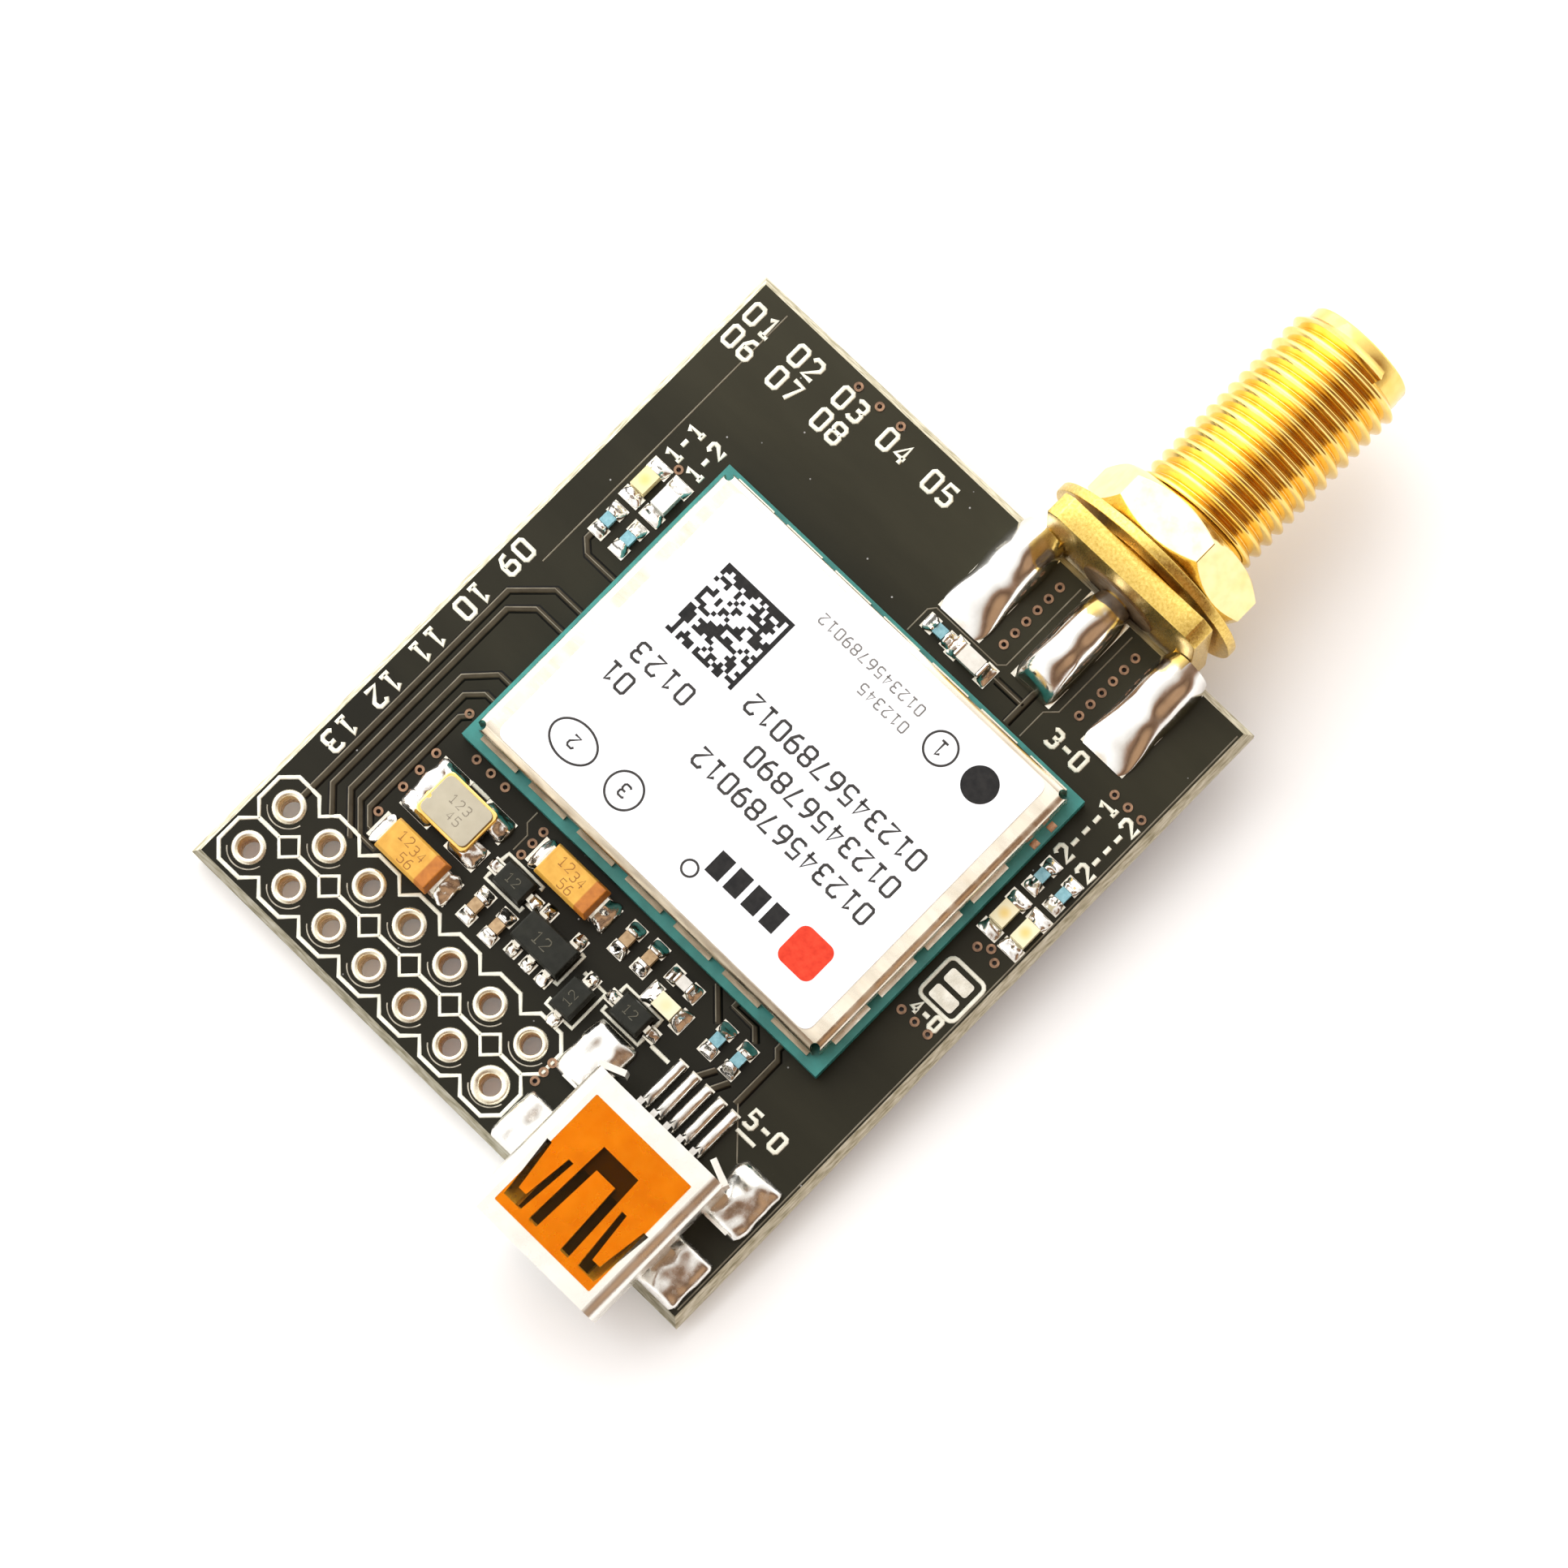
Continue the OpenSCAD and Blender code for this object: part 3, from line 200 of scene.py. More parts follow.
def lay_ribbons(name, lines, width, thickness, base, finish, slot):
    """Flat ribbons along lines of points on a level, in mm. A line that ends where it starts is a loop."""
    curve = bpy.data.curves.new(name, "CURVE")
    curve.dimensions = "3D"
    curve.bevel_depth = width / 2 * MM
    curve.bevel_resolution = 1
    curve.use_fill_caps = True
    for line in lines:
        closed = line[0] == line[-1]
        points = line[:-1] if closed else line
        spline = curve.splines.new("POLY")
        spline.points.add(len(points) - 1)
        spline.use_cyclic_u = closed
        for point, (x, y) in zip(spline.points, points):
            point.co = (x * MM, y * MM, 0, 1)
    shaped = bpy.data.objects.new(name + "_line", curve)
    bpy.context.scene.collection.objects.link(shaped)
    view = bpy.context.evaluated_depsgraph_get()
    mesh = bpy.data.meshes.new_from_object(shaped.evaluated_get(view))
    bpy.data.objects.remove(shaped)
    bpy.data.curves.remove(curve)
    mesh.transform(Matrix.Translation((0, 0, base * MM)) @ Matrix.Diagonal((1, 1, thickness / width, 1)))
    mesh.materials.clear()
    mesh.materials.append(finish)
    ribbons = bpy.data.objects.new(name, mesh)
    bpy.context.scene.collection.objects.link(ribbons)
    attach(ribbons, "root")


gap_finish = make_finish("bare_gap", (0.004, 0.004, 0.003), (0.007, 0.006, 0.005), 1.0, (0.4, 0.5),
                         specular=MASK_SPECULAR)
track_finish = make_finish("masked_copper", (0.036, 0.028, 0.016), (0.060, 0.048, 0.029), 0.6, (0.36, 0.48),
                           specular=MASK_SPECULAR)
ridge_highlight_finish = make_finish("track_edge", (0.15, 0.13, 0.095), (0.26, 0.235, 0.18), 0.8, (0.36, 0.48),
                           specular=MASK_SPECULAR)
tracks = [
    [(-13.25, -13.1), (-13.25, -0.1), (-11.7, 1.4), (-9.8, 1.4)],
    [(-11.6, -12.95), (-12.7, -11.8), (-12.7, -0.75), (-11.7, 0.2), (-9.8, 0.2)],
    [(-10.4, -13.0), (-11.95, -11.4), (-11.95, -4.3), (-10.8, -3.1), (-9.8, -3.1)],
    [(-9.2, -12.6), (-10.15, -12.6), (-11.3, -11.45), (-11.3, -4.85), (-10.6, -4.15), (-9.8, -4.15)],
    [(-9.6, -12.05), (-10.1, -12.05), (-10.75, -11.4), (-10.75, -5.7), (-10.4, -5.3)],
    [(-12.4, 4.5), (-12.4, 4.0), (-11.85, 3.5), (-9.8, 3.5)],
    [(6.95, 13.0), (6.95, 11.0)],
    [(5.3, 12.1), (6.95, 12.1)],
    [(6.0, -6.3), (7.2, -7.5)],
    [(7.2, -6.2), (7.2, -6.5), (8.5, -6.5), (9.0, -7.0)],
    [(9.9, -6.2), (9.9, -6.5), (10.25, -6.85), (10.25, -9.5)],
    [(8.6, -9.0), (8.05, -10.0)],
    [(9.4, -9.0), (8.9, -10.0)],
]
pour_edges = [
    [(0.85, 11.0), (0.85, 12.3), (1.1, 12.62), (4.85, 12.62), (5.15, 12.9), (5.15, 17.7)],
    [(7.8, 11.0), (7.8, 12.5), (8.3, 13.0), (8.3, 17.7)],
    [(-5.2, -6.35), (-5.2, -7.0), (-4.8, -7.4), (-4.8, -8.3)],
    [(10.3, -9.4), (12.1, -11.3), (14.6, -11.3)],
]
placed_tracks = [from_middle(track) for track in tracks]
# The pour edges and two long lines near the board's sides get the same painted highlight.
lit_edges = [[(x + RIDGE_SHIFT, y) for x, y in track] for track in tracks] + pour_edges
lit_edges += [[(14.75, -17.7), (14.75, 17.7)], [(-13.1, 17.6), (-13.1, 1.9)]]
placed_edges = [from_middle(edge) for edge in lit_edges]
lay_ribbons("track_gaps", placed_tracks, *GAP_SIZE, BOARD_TOP, gap_finish, "solder_mask")
lay_ribbons("copper_tracks", placed_tracks, *TRACK_SIZE, BOARD_TOP, track_finish, "solder_mask")
lay_ribbons("track_edges", placed_edges, *RIDGE_SIZE, BOARD_TOP, ridge_highlight_finish, "solder_mask")

# Header rings: plated holes whose copper rings were dipped in tin, so that each has a low round crown.
# Each ring and its barrel are one turned shape, in two rows at the header pitch.
# The mask round each ring has a pale arc on one side, a painted highlight on its lip.
PIN_PITCH = 2.54
PIN_COLUMNS = 7
RING_PROFILE = ((0.50, -0.03), (0.50, 1.63), (0.54, 1.685), (0.64, 1.71), (0.74, 1.685), (0.80, 1.62), (0.80, 1.60),
                (0.52, 1.60), (0.52, 0.0), (0.80, 0.0), (0.80, -0.03), (0.76, -0.045), (0.54, -0.045))


def add_loop(shape, points):
    """Closed loop of edges through points."""
    corners = [shape.verts.new(point) for point in points]
    edges = [shape.edges.new(pair) for pair in zip(corners, corners[1:] + corners[:1])]
    return corners + edges


def spin_full(shape, geometry, centre, axis, steps):
    """Full turn of a profile, with its seam merged."""
    bmesh.ops.spin(shape, geom=geometry, cent=centre, axis=axis, angle=math.tau, steps=steps, use_merge=True)


def place_piece(name, shape, finish, stands_for=(), sharp=35):
    """Makes a piece of a shape drawn in mm, with its normals outwards and its edges sharp past an angle."""
    bmesh.ops.remove_doubles(shape, verts=shape.verts, dist=0.0005)
    bmesh.ops.recalc_face_normals(shape, faces=shape.faces)
    bmesh.ops.scale(shape, vec=(MM, MM, MM), verts=shape.verts)
    mesh = bpy.data.meshes.new(name)
    shape.to_mesh(mesh)
    shape.free()
    mesh.shade_smooth()
    mesh.set_sharp_from_angle(angle=math.radians(sharp))
    mesh.materials.append(finish)
    piece = bpy.data.objects.new(name, mesh)
    bpy.context.scene.collection.objects.link(piece)
    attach(piece, "root")
    if stands_for:
        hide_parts(*stands_for)


def shade_along(finish, axis, span, size, deep, pale, before=True, stops=(0.3, 0.7), **pattern):
    """Gives a finish another mottled tone before a span along an axis of the piece, in mm, or after it.
    Returns the share of the way through the span."""
    tree = finish.node_tree
    shader = tree.nodes["Principled BSDF"]
    place = make_node(tree, "SeparateXYZ", {"Vector": own_place(tree)}).outputs[axis]
    share = share_between(tree, place, span[0] * MM, span[1] * MM)
    tone = graded(tree, speckle(tree, size, **pattern), (stops[0], deep), (stops[1], pale))
    plain = shader.inputs["Base Color"].links[0].from_socket
    pair = (tone, plain) if before else (plain, tone)
    tree.links.new(blended(tree, share, *pair), shader.inputs["Base Color"])
    return share


rings = bmesh.new()
for row in range(2):
    for column in range(PIN_COLUMNS):
        wide = 0.1 if row == 0 and column == PIN_COLUMNS - 1 else 0.0
        profile = [(column * PIN_PITCH + r + (wide if r > 0.6 else 0), row * PIN_PITCH, z) for r, z in RING_PROFILE]
        spin_full(rings, add_loop(rings, profile), (column * PIN_PITCH, row * PIN_PITCH, 0), (0, 0, 1), 32)
ring_finish = make_finish("ring_tin", (0.72, 0.66, 0.50), (0.90, 0.86, 0.72), 0.5, (0.18, 0.34), 0.9, (0.14, 0.002))
crown = shade_along(ring_finish, "Z", (1.45, BOARD_TOP), 2.5, (0.60, 0.36, 0.13), (0.78, 0.62, 0.38), stops=(0.4, 0.6),
                    detail=1.0)
ring_tree = ring_finish.node_tree
ring_shader = ring_tree.nodes["Principled BSDF"]
ring_tree.links.new(graded(ring_tree, crown, (0.0, 0.25), (1.0, 0.8)), ring_shader.inputs["Metallic"])
place_piece("header_rings", rings, ring_finish, ("header_lands",), 60)


def ring_line(x, y, rx, ry, count=48, first=0, last=None):
    """Line round an ellipse, closed unless it has a first and a last step."""
    angles = [i % count * math.tau / count for i in range(first, count + 1 if last is None else last)]
    return [(x + rx * math.cos(angle), y + ry * math.sin(angle)) for angle in angles]


LIP_R = 0.99
LIP_SIZE = (0.06, 0.025)
# Painted highlight: pale arcs on one side of each opening only.
lip_highlight_finish = make_finish("mask_lip_highlight", (0.22, 0.20, 0.16), (0.62, 0.58, 0.48), 0.5, (0.3, 0.45))
openings = [ring_line(column * PIN_PITCH, row * PIN_PITCH, LIP_R, LIP_R, 48, 29, 47)
            for row in range(2) for column in range(PIN_COLUMNS)]
lay_ribbons("mask_openings", openings, *LIP_SIZE, BOARD_TOP, lip_highlight_finish, "solder_mask")

# Vias: small plated holes that join the copper on both faces, covered by the mask but brown at their rims.
# They are drilled and plated with the board, and the source's solids are kept.
via_finish = make_finish("via_copper", (0.14, 0.078, 0.045), (0.40, 0.235, 0.14), 0.25, (0.3, 0.5), 0.4)
dress(via_finish, "vias")

# Screen print: cream-white ink in thin lines, printed on the cured mask.
# It outlines the header holes, marks the parts' corners and numbers the places on the board.
INK_LINE = 0.21
NUMBER_LINE = 0.23
INK_T = 0.05
DIGITS = {
    "0": [[(0.1, 0), (0.5, 0), (0.6, 0.12), (0.6, 0.88), (0.5, 1), (0.1, 1), (0, 0.88), (0, 0.12), (0.1, 0)]],
    "1": [[(0.08, 0.8), (0.33, 1), (0.33, 0)], [(0.08, 0), (0.58, 0)]],
    "2": [[(0, 0.82), (0.12, 1), (0.48, 1), (0.6, 0.86), (0.6, 0.62), (0, 0), (0.6, 0)]],
    "3": [[(0, 0.9), (0.12, 1), (0.48, 1), (0.6, 0.88), (0.6, 0.65), (0.48, 0.53), (0.2, 0.53)],
          [(0.48, 0.53), (0.6, 0.4), (0.6, 0.12), (0.48, 0), (0.12, 0), (0, 0.1)]],
    "4": [[(0.45, 0), (0.45, 1), (0, 0.3), (0.6, 0.3)]],
    "5": [[(0.57, 1), (0.04, 1), (0, 0.56), (0.45, 0.58), (0.6, 0.45), (0.6, 0.13), (0.47, 0), (0.1, 0), (0, 0.1)]],
    "6": [[(0.5, 1), (0.2, 0.95), (0, 0.6), (0, 0.13), (0.12, 0), (0.48, 0), (0.6, 0.13), (0.6, 0.42), (0.48, 0.55),
           (0.02, 0.52)]],
    "7": [[(0, 1), (0.6, 1), (0.22, 0)]],
    "8": [[(0.12, 0.53), (0, 0.66), (0, 0.88), (0.12, 1), (0.48, 1), (0.6, 0.88), (0.6, 0.66), (0.48, 0.53),
           (0.6, 0.4), (0.6, 0.12), (0.48, 0), (0.12, 0), (0, 0.12), (0, 0.4), (0.12, 0.53), (0.48, 0.53)]],
    "9": [[(0.1, 0), (0.4, 0.05), (0.6, 0.4), (0.6, 0.87), (0.48, 1), (0.12, 1), (0, 0.87), (0, 0.58), (0.12, 0.45),
           (0.58, 0.48)]],
    "-": [[(0.05, 0.5), (0.55, 0.5)]],
    " ": [],
}


def write_digits(text, start, height, pitch, turn=0):
    """Strokes of a row of digits from a start, turned by quarter turns."""
    along = Vector((round(math.cos(turn * math.pi / 2)), round(math.sin(turn * math.pi / 2))))
    upward = Vector((-along.y, along.x))
    strokes = []
    for i, digit in enumerate(text):
        corner = Vector(start) + i * pitch * along
        for line in DIGITS[digit]:
            strokes.append([tuple(corner + height * (x * along + y * upward)) for x, y in line])
    return strokes


ink_finish = make_finish("print_ink", (0.76, 0.76, 0.64), (0.90, 0.90, 0.80), 0.4, (0.5, 0.7), grain=(0.08, 0.004))
half = PIN_PITCH / 2
quarter = PIN_PITCH / 4
top = 2 * PIN_PITCH - half
last = (PIN_COLUMNS - 1) * PIN_PITCH
outline = []
for column in range(PIN_COLUMNS):
    x = column * PIN_PITCH
    outline += [(x - half, -quarter), (x - quarter, -half), (x + quarter, -half), (x + half, -quarter)]
outline += [(last + half, quarter), (last + quarter, half), (last + half, half + quarter)]
for column in reversed(range(PIN_COLUMNS)):
    x = column * PIN_PITCH
    outline += [(x + half, top - quarter), (x + quarter, top), (x - quarter, top), (x - half, top - quarter)]
outline += [(-half, half + quarter), (-quarter, half), (-half, quarter), (-half, -quarter)]
header_print = [outline]
for column in range(PIN_COLUMNS):
    x = column * PIN_PITCH
    header_print.append([(x - quarter, half), (x + quarter, half)])
    if column < PIN_COLUMNS - 1:
        header_print.append([(x + quarter, half), (x + half, half + quarter), (x + half + quarter, half),
                             (x + half, half - quarter), (x + quarter, half)])

part_marks = [[(-4.85, -9.05), (-4.8, -8.55), (-2.65, -8.55), (-2.65, -8.75)],
              [(-4.8, -9.7), (-4.8, -10.05), (-2.65, -10.05), (-2.65, -9.8)],
              [(3.1, -9.5), (3.1, -9.1), (5.3, -9.1), (5.3, -9.6)],
              [(3.1, -10.35), (3.1, -10.65), (5.3, -10.65), (5.3, -10.25)],
              [(1.35, -10.0), (2.7, -10.0), (2.7, -12.15), (1.1, -12.15), (1.1, -11.8)],
              [(0.65, -9.5), (0.85, -9.5), (0.85, -11.2), (0.65, -11.2)]]
part_marks += [[(5.75, -10.25), (6.85, -10.25)], [(11.05, -10.25), (12.15, -10.25)], [(-8.3, -7.45), (-7.2, -7.45)]]
frame_r = 0.32
jumper = [(12.5, -0.35), (14.6, -0.35), (14.6, 1.9), (12.5, 1.9)]
jumper_frame = []
for i, (x, y) in enumerate(jumper):
    sx = 1 if x < 13 else -1
    sy = 1 if y < 0 else -1
    for k in range(4):
        angle = math.radians(180 + 90 * i + 30 * k)
        jumper_frame.append((x + frame_r * (sx + math.cos(angle)), y + frame_r * (sy + math.sin(angle))))
part_marks.append(jumper_frame + jumper_frame[:1])
numbers = write_digits("01 02 03 04 05", (-14.5, 16.15), 0.95, 0.93)
numbers += write_digits("06 07 08", (-14.5, 14.75), 0.95, 0.93)
numbers += write_digits("09 10 11 12 13", (-14.55, 1.95), 0.95, 0.93, -1)
numbers += write_digits("1-1", (-11.95, 9.25), 0.72, 0.72, 1) + write_digits("1-2", (-10.65, 9.25), 0.72, 0.72, 1)
numbers += write_digits("2---1", (13.25, 8.35), 0.78, 0.7, 1) + write_digits("2---2", (14.55, 8.35), 0.78, 0.7, 1)
numbers += write_digits("3-0", (8.75, 11.6), 0.8, 0.75) + write_digits("5-0", (11.05, -9.85), 0.8, 0.75)
numbers += write_digits("4-0", (12.75, -1.15), 0.62, 0.58)
lay_ribbons("header_print", header_print, INK_LINE, INK_T, BOARD_TOP, ink_finish, "label")
lay_ribbons("part_marks", [from_middle(mark) for mark in part_marks], INK_LINE, INK_T, BOARD_TOP, ink_finish, "label")
lay_ribbons("place_numbers", [from_middle(mark) for mark in numbers], NUMBER_LINE, INK_T, BOARD_TOP, ink_finish,
            "label")

# Tinned lands: bare copper openings in the mask, tinned, where the parts are soldered.
# They are etched with the tracks and lie flat on the board.
tin_finish = make_finish("tin", (0.66, 0.62, 0.52), (0.86, 0.83, 0.74), 0.5, (0.16, 0.34), 1.0, (0.14, 0.003))
dress(tin_finish, "surface_lands")

# Module carrier: the receiver's own small circuit board, teal mask on both faces, soldered flat on the big one.
# Two bare copper pads show in its margin, beside the shield.
CARRIER_TOP = 2.55
carrier_finish = make_finish("teal_mask", (0.020, 0.180, 0.165), (0.034, 0.255, 0.235), 0.8, (0.28, 0.42),
                             grain=(0.3, 0.004))
dress(carrier_finish, "module_carrier")


def add_plate(shape, low, high, base, thickness):
    """Thin flat block between two corners, from a level up."""
    size = (high[0] - low[0], high[1] - low[1], thickness)
    middle = ((low[0] + high[0]) / 2, (low[1] + high[1]) / 2, base + thickness / 2)
    bmesh.ops.create_cube(shape, size=1.0, matrix=Matrix.Translation(middle) @ Matrix.Diagonal((*size, 1)))


def round_edges(shape, edges, width, segments=2):
    """Bevels edges by a width."""
    bmesh.ops.bevel(shape, geom=edges, offset=width, segments=segments, profile=0.5, affect="EDGES", material=-1)


pad_finish = make_finish("pad_copper", (0.34, 0.17, 0.09), (0.62, 0.36, 0.22), 0.25, (0.25, 0.4), 0.8)
pads = bmesh.new()
for y in (7.86, 8.94):
    add_plate(pads, *from_middle([(11.58, y - 0.2), (11.92, y + 0.2)]), CARRIER_TOP - 0.01, 0.03)
round_edges(pads, [e for e in pads.edges if min(v.co.z for v in e.verts) > CARRIER_TOP], 0.012)
place_piece("carrier_pads", pads, pad_finish)

# Shield: thin tinned sheet, blanked and folded to a can, with its feet soldered to the carrier.
# Faint rolling lines run along the sheet, and its front fold and feet are painted browner and darker as shade.
shield_finish = make_finish("folded_sheet", (0.76, 0.68, 0.55), (0.93, 0.87, 0.75), 0.9, (0.18, 0.38), 1.0,
                            (0.12, 0.0025), (0.3, 1, 1))
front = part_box("module_shield")[0].y / MM
# Painted shade: the sheet darkens and browns towards its front edge.
shade_along(shield_finish, "Y", (front + 0.3, front + 0.9), 0.3, (0.26, 0.20, 0.135), (0.50, 0.43, 0.32),
            detail=5.0, stretch=(0.25, 1, 1))
dress(shield_finish, "module_shield")
ease_edges(0.05, "module_shield")

# Hidden circuit of the receiver: its chip, memory, clock, filters and small parts, under the shield.
# They are soldered to the carrier before the can goes over them, and the source's solids stand in for them.
chip_finish = make_finish("chip_moulding", (0.010, 0.011, 0.008), (0.018, 0.019, 0.014), 0.5, (0.5, 0.65),
                          grain=(0.06, 0.004), specular=0.25)
dress(chip_finish, "receiver_chip", "memory_chip")
lid_finish = make_finish("welded_lid", (0.44, 0.40, 0.31), (0.50, 0.46, 0.36), 0.8, (0.34, 0.46), 0.85, (0.06, 0.001))
dress(lid_finish, "module_clock")
filter_finish = make_finish("grey_ceramic", (0.14, 0.14, 0.14), (0.22, 0.22, 0.22), 0.4, (0.4, 0.6))
dress(filter_finish, "band_filters")
ceramic_finish = make_finish("fired_ceramic", (0.36, 0.23, 0.11), (0.55, 0.39, 0.22), 0.22, (0.35, 0.55),
                             grain=(0.05, 0.004))
dress(ceramic_finish, "module_passives")

# Label: white coated paper on the shield, printed in black, grey and one plain red mark.
# The print is generic: a first-pin dot, rows of digits upside down to the board, rings and a block pattern.
LABEL_TOP = 4.11
PRINT_T = 0.012
PRINT_BASE = LABEL_TOP - 0.004
PRINT_SPECULAR = 0.2
paper_finish = make_finish("label_paper", (0.84, 0.87, 0.93), (0.89, 0.92, 0.98), 2.0, (0.38, 0.5), grain=(0.1, 0.002))
dress(paper_finish, "module_label")
black_print = make_finish("black_print", (0.010, 0.010, 0.011), (0.022, 0.021, 0.021), 0.3, (0.4, 0.55),
                          specular=PRINT_SPECULAR)
dark_print = make_finish("dark_print", (0.030, 0.028, 0.028), (0.060, 0.057, 0.056), 0.3, (0.45, 0.6),
                         specular=PRINT_SPECULAR)
grey_print = make_finish("grey_print", (0.15, 0.145, 0.14), (0.25, 0.24, 0.235), 0.3, (0.45, 0.6),
                         specular=PRINT_SPECULAR)
red_print = make_finish("red_print", (0.64, 0.036, 0.014), (0.78, 0.062, 0.026), 0.25, (0.4, 0.55),
                        specular=PRINT_SPECULAR)


def print_lines(name, lines, width, finish):
    """Printed lines on the label, measured from the board's middle."""
    lay_ribbons(name, [from_middle(line) for line in lines], width, PRINT_T, LABEL_TOP, finish, "label")


rows = write_digits("0123456789012", (8.95, 4.0), 0.88, 0.83, 2)
rows += write_digits("01234567890", (8.95, 2.35), 0.88, 0.83, 2)
rows += write_digits("0123456789012", (8.95, 0.7), 0.88, 0.83, 2)
rows += write_digits("0123", (-3.55, 2.2), 0.88, 0.9, 2) + write_digits("01", (-5.8, 0.7), 0.88, 0.8, 2)
print_lines("label_rows", rows, 0.15, dark_print)
small_rows = write_digits("0123456789012", (4.3, 8.7), 0.5, 0.49, 2)
small_rows += write_digits("012345", (4.3, 7.65), 0.5, 0.49, 2)
print_lines("label_small_rows", small_rows, 0.08, grey_print)
label_rings = [ring_line(6.0, 7.87, 0.78, 0.78), ring_line(-5.85, -3.15, 1.22, 0.9),
               ring_line(-2.7, -3.15, 0.88, 0.88), ring_line(1.8, -3.6, 0.38, 0.38, 24)]
label_rings += write_digits("1", (6.2, 8.2), 0.7, 0.5, 2) + write_digits("2", (-5.65, -2.85), 0.6, 0.5, 2)
label_rings += write_digits("3", (-2.5, -2.85), 0.6, 0.5, 2)
print_lines("label_rings", label_rings, 0.11, dark_print)

block_seed = random.Random(7)
blocks = bmesh.new()
block_count = 20
cell = 4.08 / block_count
block_x, block_y = from_middle([(-6.55, 3.3)])[0]
for i in range(block_count):
    start = None
    for j in range(block_count + 1):
        solid = i == block_count - 1 or j == block_count - 1
        filled = j < block_count and (block_seed.random() < 0.45 or solid)
        if filled and start is None:
            start = j
        if not filled and start is not None:
            add_plate(blocks, (block_x + start * cell, block_y + i * cell),
                      (block_x + j * cell, block_y + (i + 1) * cell), PRINT_BASE, PRINT_T)
            start = None
for x0, x1 in ((2.3, 3.1), (3.4, 4.2), (4.5, 5.3), (5.6, 6.4)):
    add_plate(blocks, *from_middle([(x0, -3.2), (x1, -2.0)]), PRINT_BASE, PRINT_T)
place_piece("label_blocks", blocks, black_print)
dot = bmesh.new()
dot_place = from_middle([(8.36, 7.9)])[0]
bmesh.ops.create_cone(dot, cap_ends=True, segments=48, radius1=0.87, radius2=0.87, depth=PRINT_T,
                      matrix=Matrix.Translation((*dot_place, PRINT_BASE + PRINT_T / 2)))
place_piece("label_dot", dot, black_print)


def upright_edges(shape):
    """Edges of a flat block that run up."""
    return [e for e in shape.edges if abs(e.verts[0].co.z - e.verts[1].co.z) > 0.001]


red_mark = bmesh.new()
add_plate(red_mark, *from_middle([(7.1, -3.75), (9.1, -1.75)]), PRINT_BASE, PRINT_T)
round_edges(red_mark, upright_edges(red_mark), 0.45, 8)
place_piece("label_mark", red_mark, red_print)

# Antenna jack body: free-cutting brass, milled to a square flange with ground legs, turned and threaded, gold plated.
# The barrel is one turned profile and the thread one rolled ridge that runs round it.
AXIS = (20.07, 2.285)
FLANGE_BACK = 34.87
FLANGE_FRONT = 36.07
FLANGE_HALF = 4.45
FLANGE_CUT = 0.55
LEG_X = 3.95
LEG_MIDDLE = 33.6
LEG_LEVELS = (2.15, -0.55)
LEG_SIZE = (1.0, 2.6, 1.0)
BORE_R = 2.05
THREAD_R = 3.175
THREAD_PITCH = 0.7056
THREAD_START = 36.45
THREAD_END = 49.75
THREAD_FADE = 49.97
RIDGE_FOOT = 2.74
BARREL_PROFILE = ((BORE_R, 36.0), (2.78, 36.0), (2.78, 49.9), (2.75, 49.97), (2.75, 50.45), (2.68, 50.55), (2.6, 50.57),
                  (2.42, 50.57), (2.33, 50.54), (2.3, 50.45), (2.3, 48.62), (BORE_R, 48.62))
RIDGE_PROFILE = ((RIDGE_FOOT, -0.345), (2.80, -0.335), (3.14, -0.085), (3.17, -0.04), (3.17, 0.04), (3.14, 0.085),
                 (2.80, 0.335), (RIDGE_FOOT, 0.345))
SPIN_STEPS = 48

gold_finish = make_finish("gold_plate", (0.90, 0.61, 0.16), (0.97, 0.72, 0.25), 0.9, (0.08, 0.20), 1.0, (0.12, 0.0015))
satin_gold = make_finish("milled_gold", (0.64, 0.43, 0.09), (0.92, 0.67, 0.20), 0.14, (0.22, 0.40), 1.0, (0.06, 0.0026))

flange = bmesh.new()
bmesh.ops.create_circle(flange, segments=SPIN_STEPS, radius=BORE_R,
                        matrix=Matrix.Rotation(math.pi / SPIN_STEPS, 4, "Z"))
flange_rim = bmesh.ops.extrude_edge_only(flange, edges=flange.edges[:])["geom"]
for corner in [v for v in flange_rim if isinstance(v, bmesh.types.BMVert)]:
    x, y = abs(corner.co.x), abs(corner.co.y)
    corner.co /= max(x / FLANGE_HALF, y / FLANGE_HALF, (x + y) / (2 * FLANGE_HALF - FLANGE_CUT))
flange_front = bmesh.ops.extrude_face_region(flange, geom=flange.faces[:])["geom"]
bmesh.ops.translate(flange, vec=(0, 0, FLANGE_FRONT - FLANGE_BACK),
                    verts=[v for v in flange_front if isinstance(v, bmesh.types.BMVert)])
bmesh.ops.recalc_face_normals(flange, faces=flange.faces)
outer = [e for e in flange.edges if all(v.co.to_2d().length > 3 for v in e.verts) and e.calc_face_angle(0) > 0.5]
round_edges(flange, outer, 0.07)
standing = Matrix.Translation((AXIS[0], FLANGE_BACK, AXIS[1])) @ Matrix.Rotation(math.radians(-90), 4, "X")
bmesh.ops.transform(flange, matrix=standing, verts=flange.verts)
for x in (-LEG_X, LEG_X):
    for z in LEG_LEVELS:
        leg = bmesh.ops.create_cube(flange, size=1.0, matrix=Matrix.Translation((AXIS[0] + x, LEG_MIDDLE, z))
                                    @ Matrix.Diagonal((*LEG_SIZE, 1)))
        round_edges(flange, list({e for v in leg["verts"] for e in v.link_edges}), 0.06)
place_piece("jack_flange", flange, satin_gold, ("jack_body",))

barrel = bmesh.new()
profile = [(AXIS[0] + r, y, AXIS[1]) for r, y in BARREL_PROFILE]
spin_full(barrel, add_loop(barrel, profile), (AXIS[0], 0, AXIS[1]), (0, 1, 0), 64)
place_piece("jack_barrel", barrel, gold_finish, (), 40)

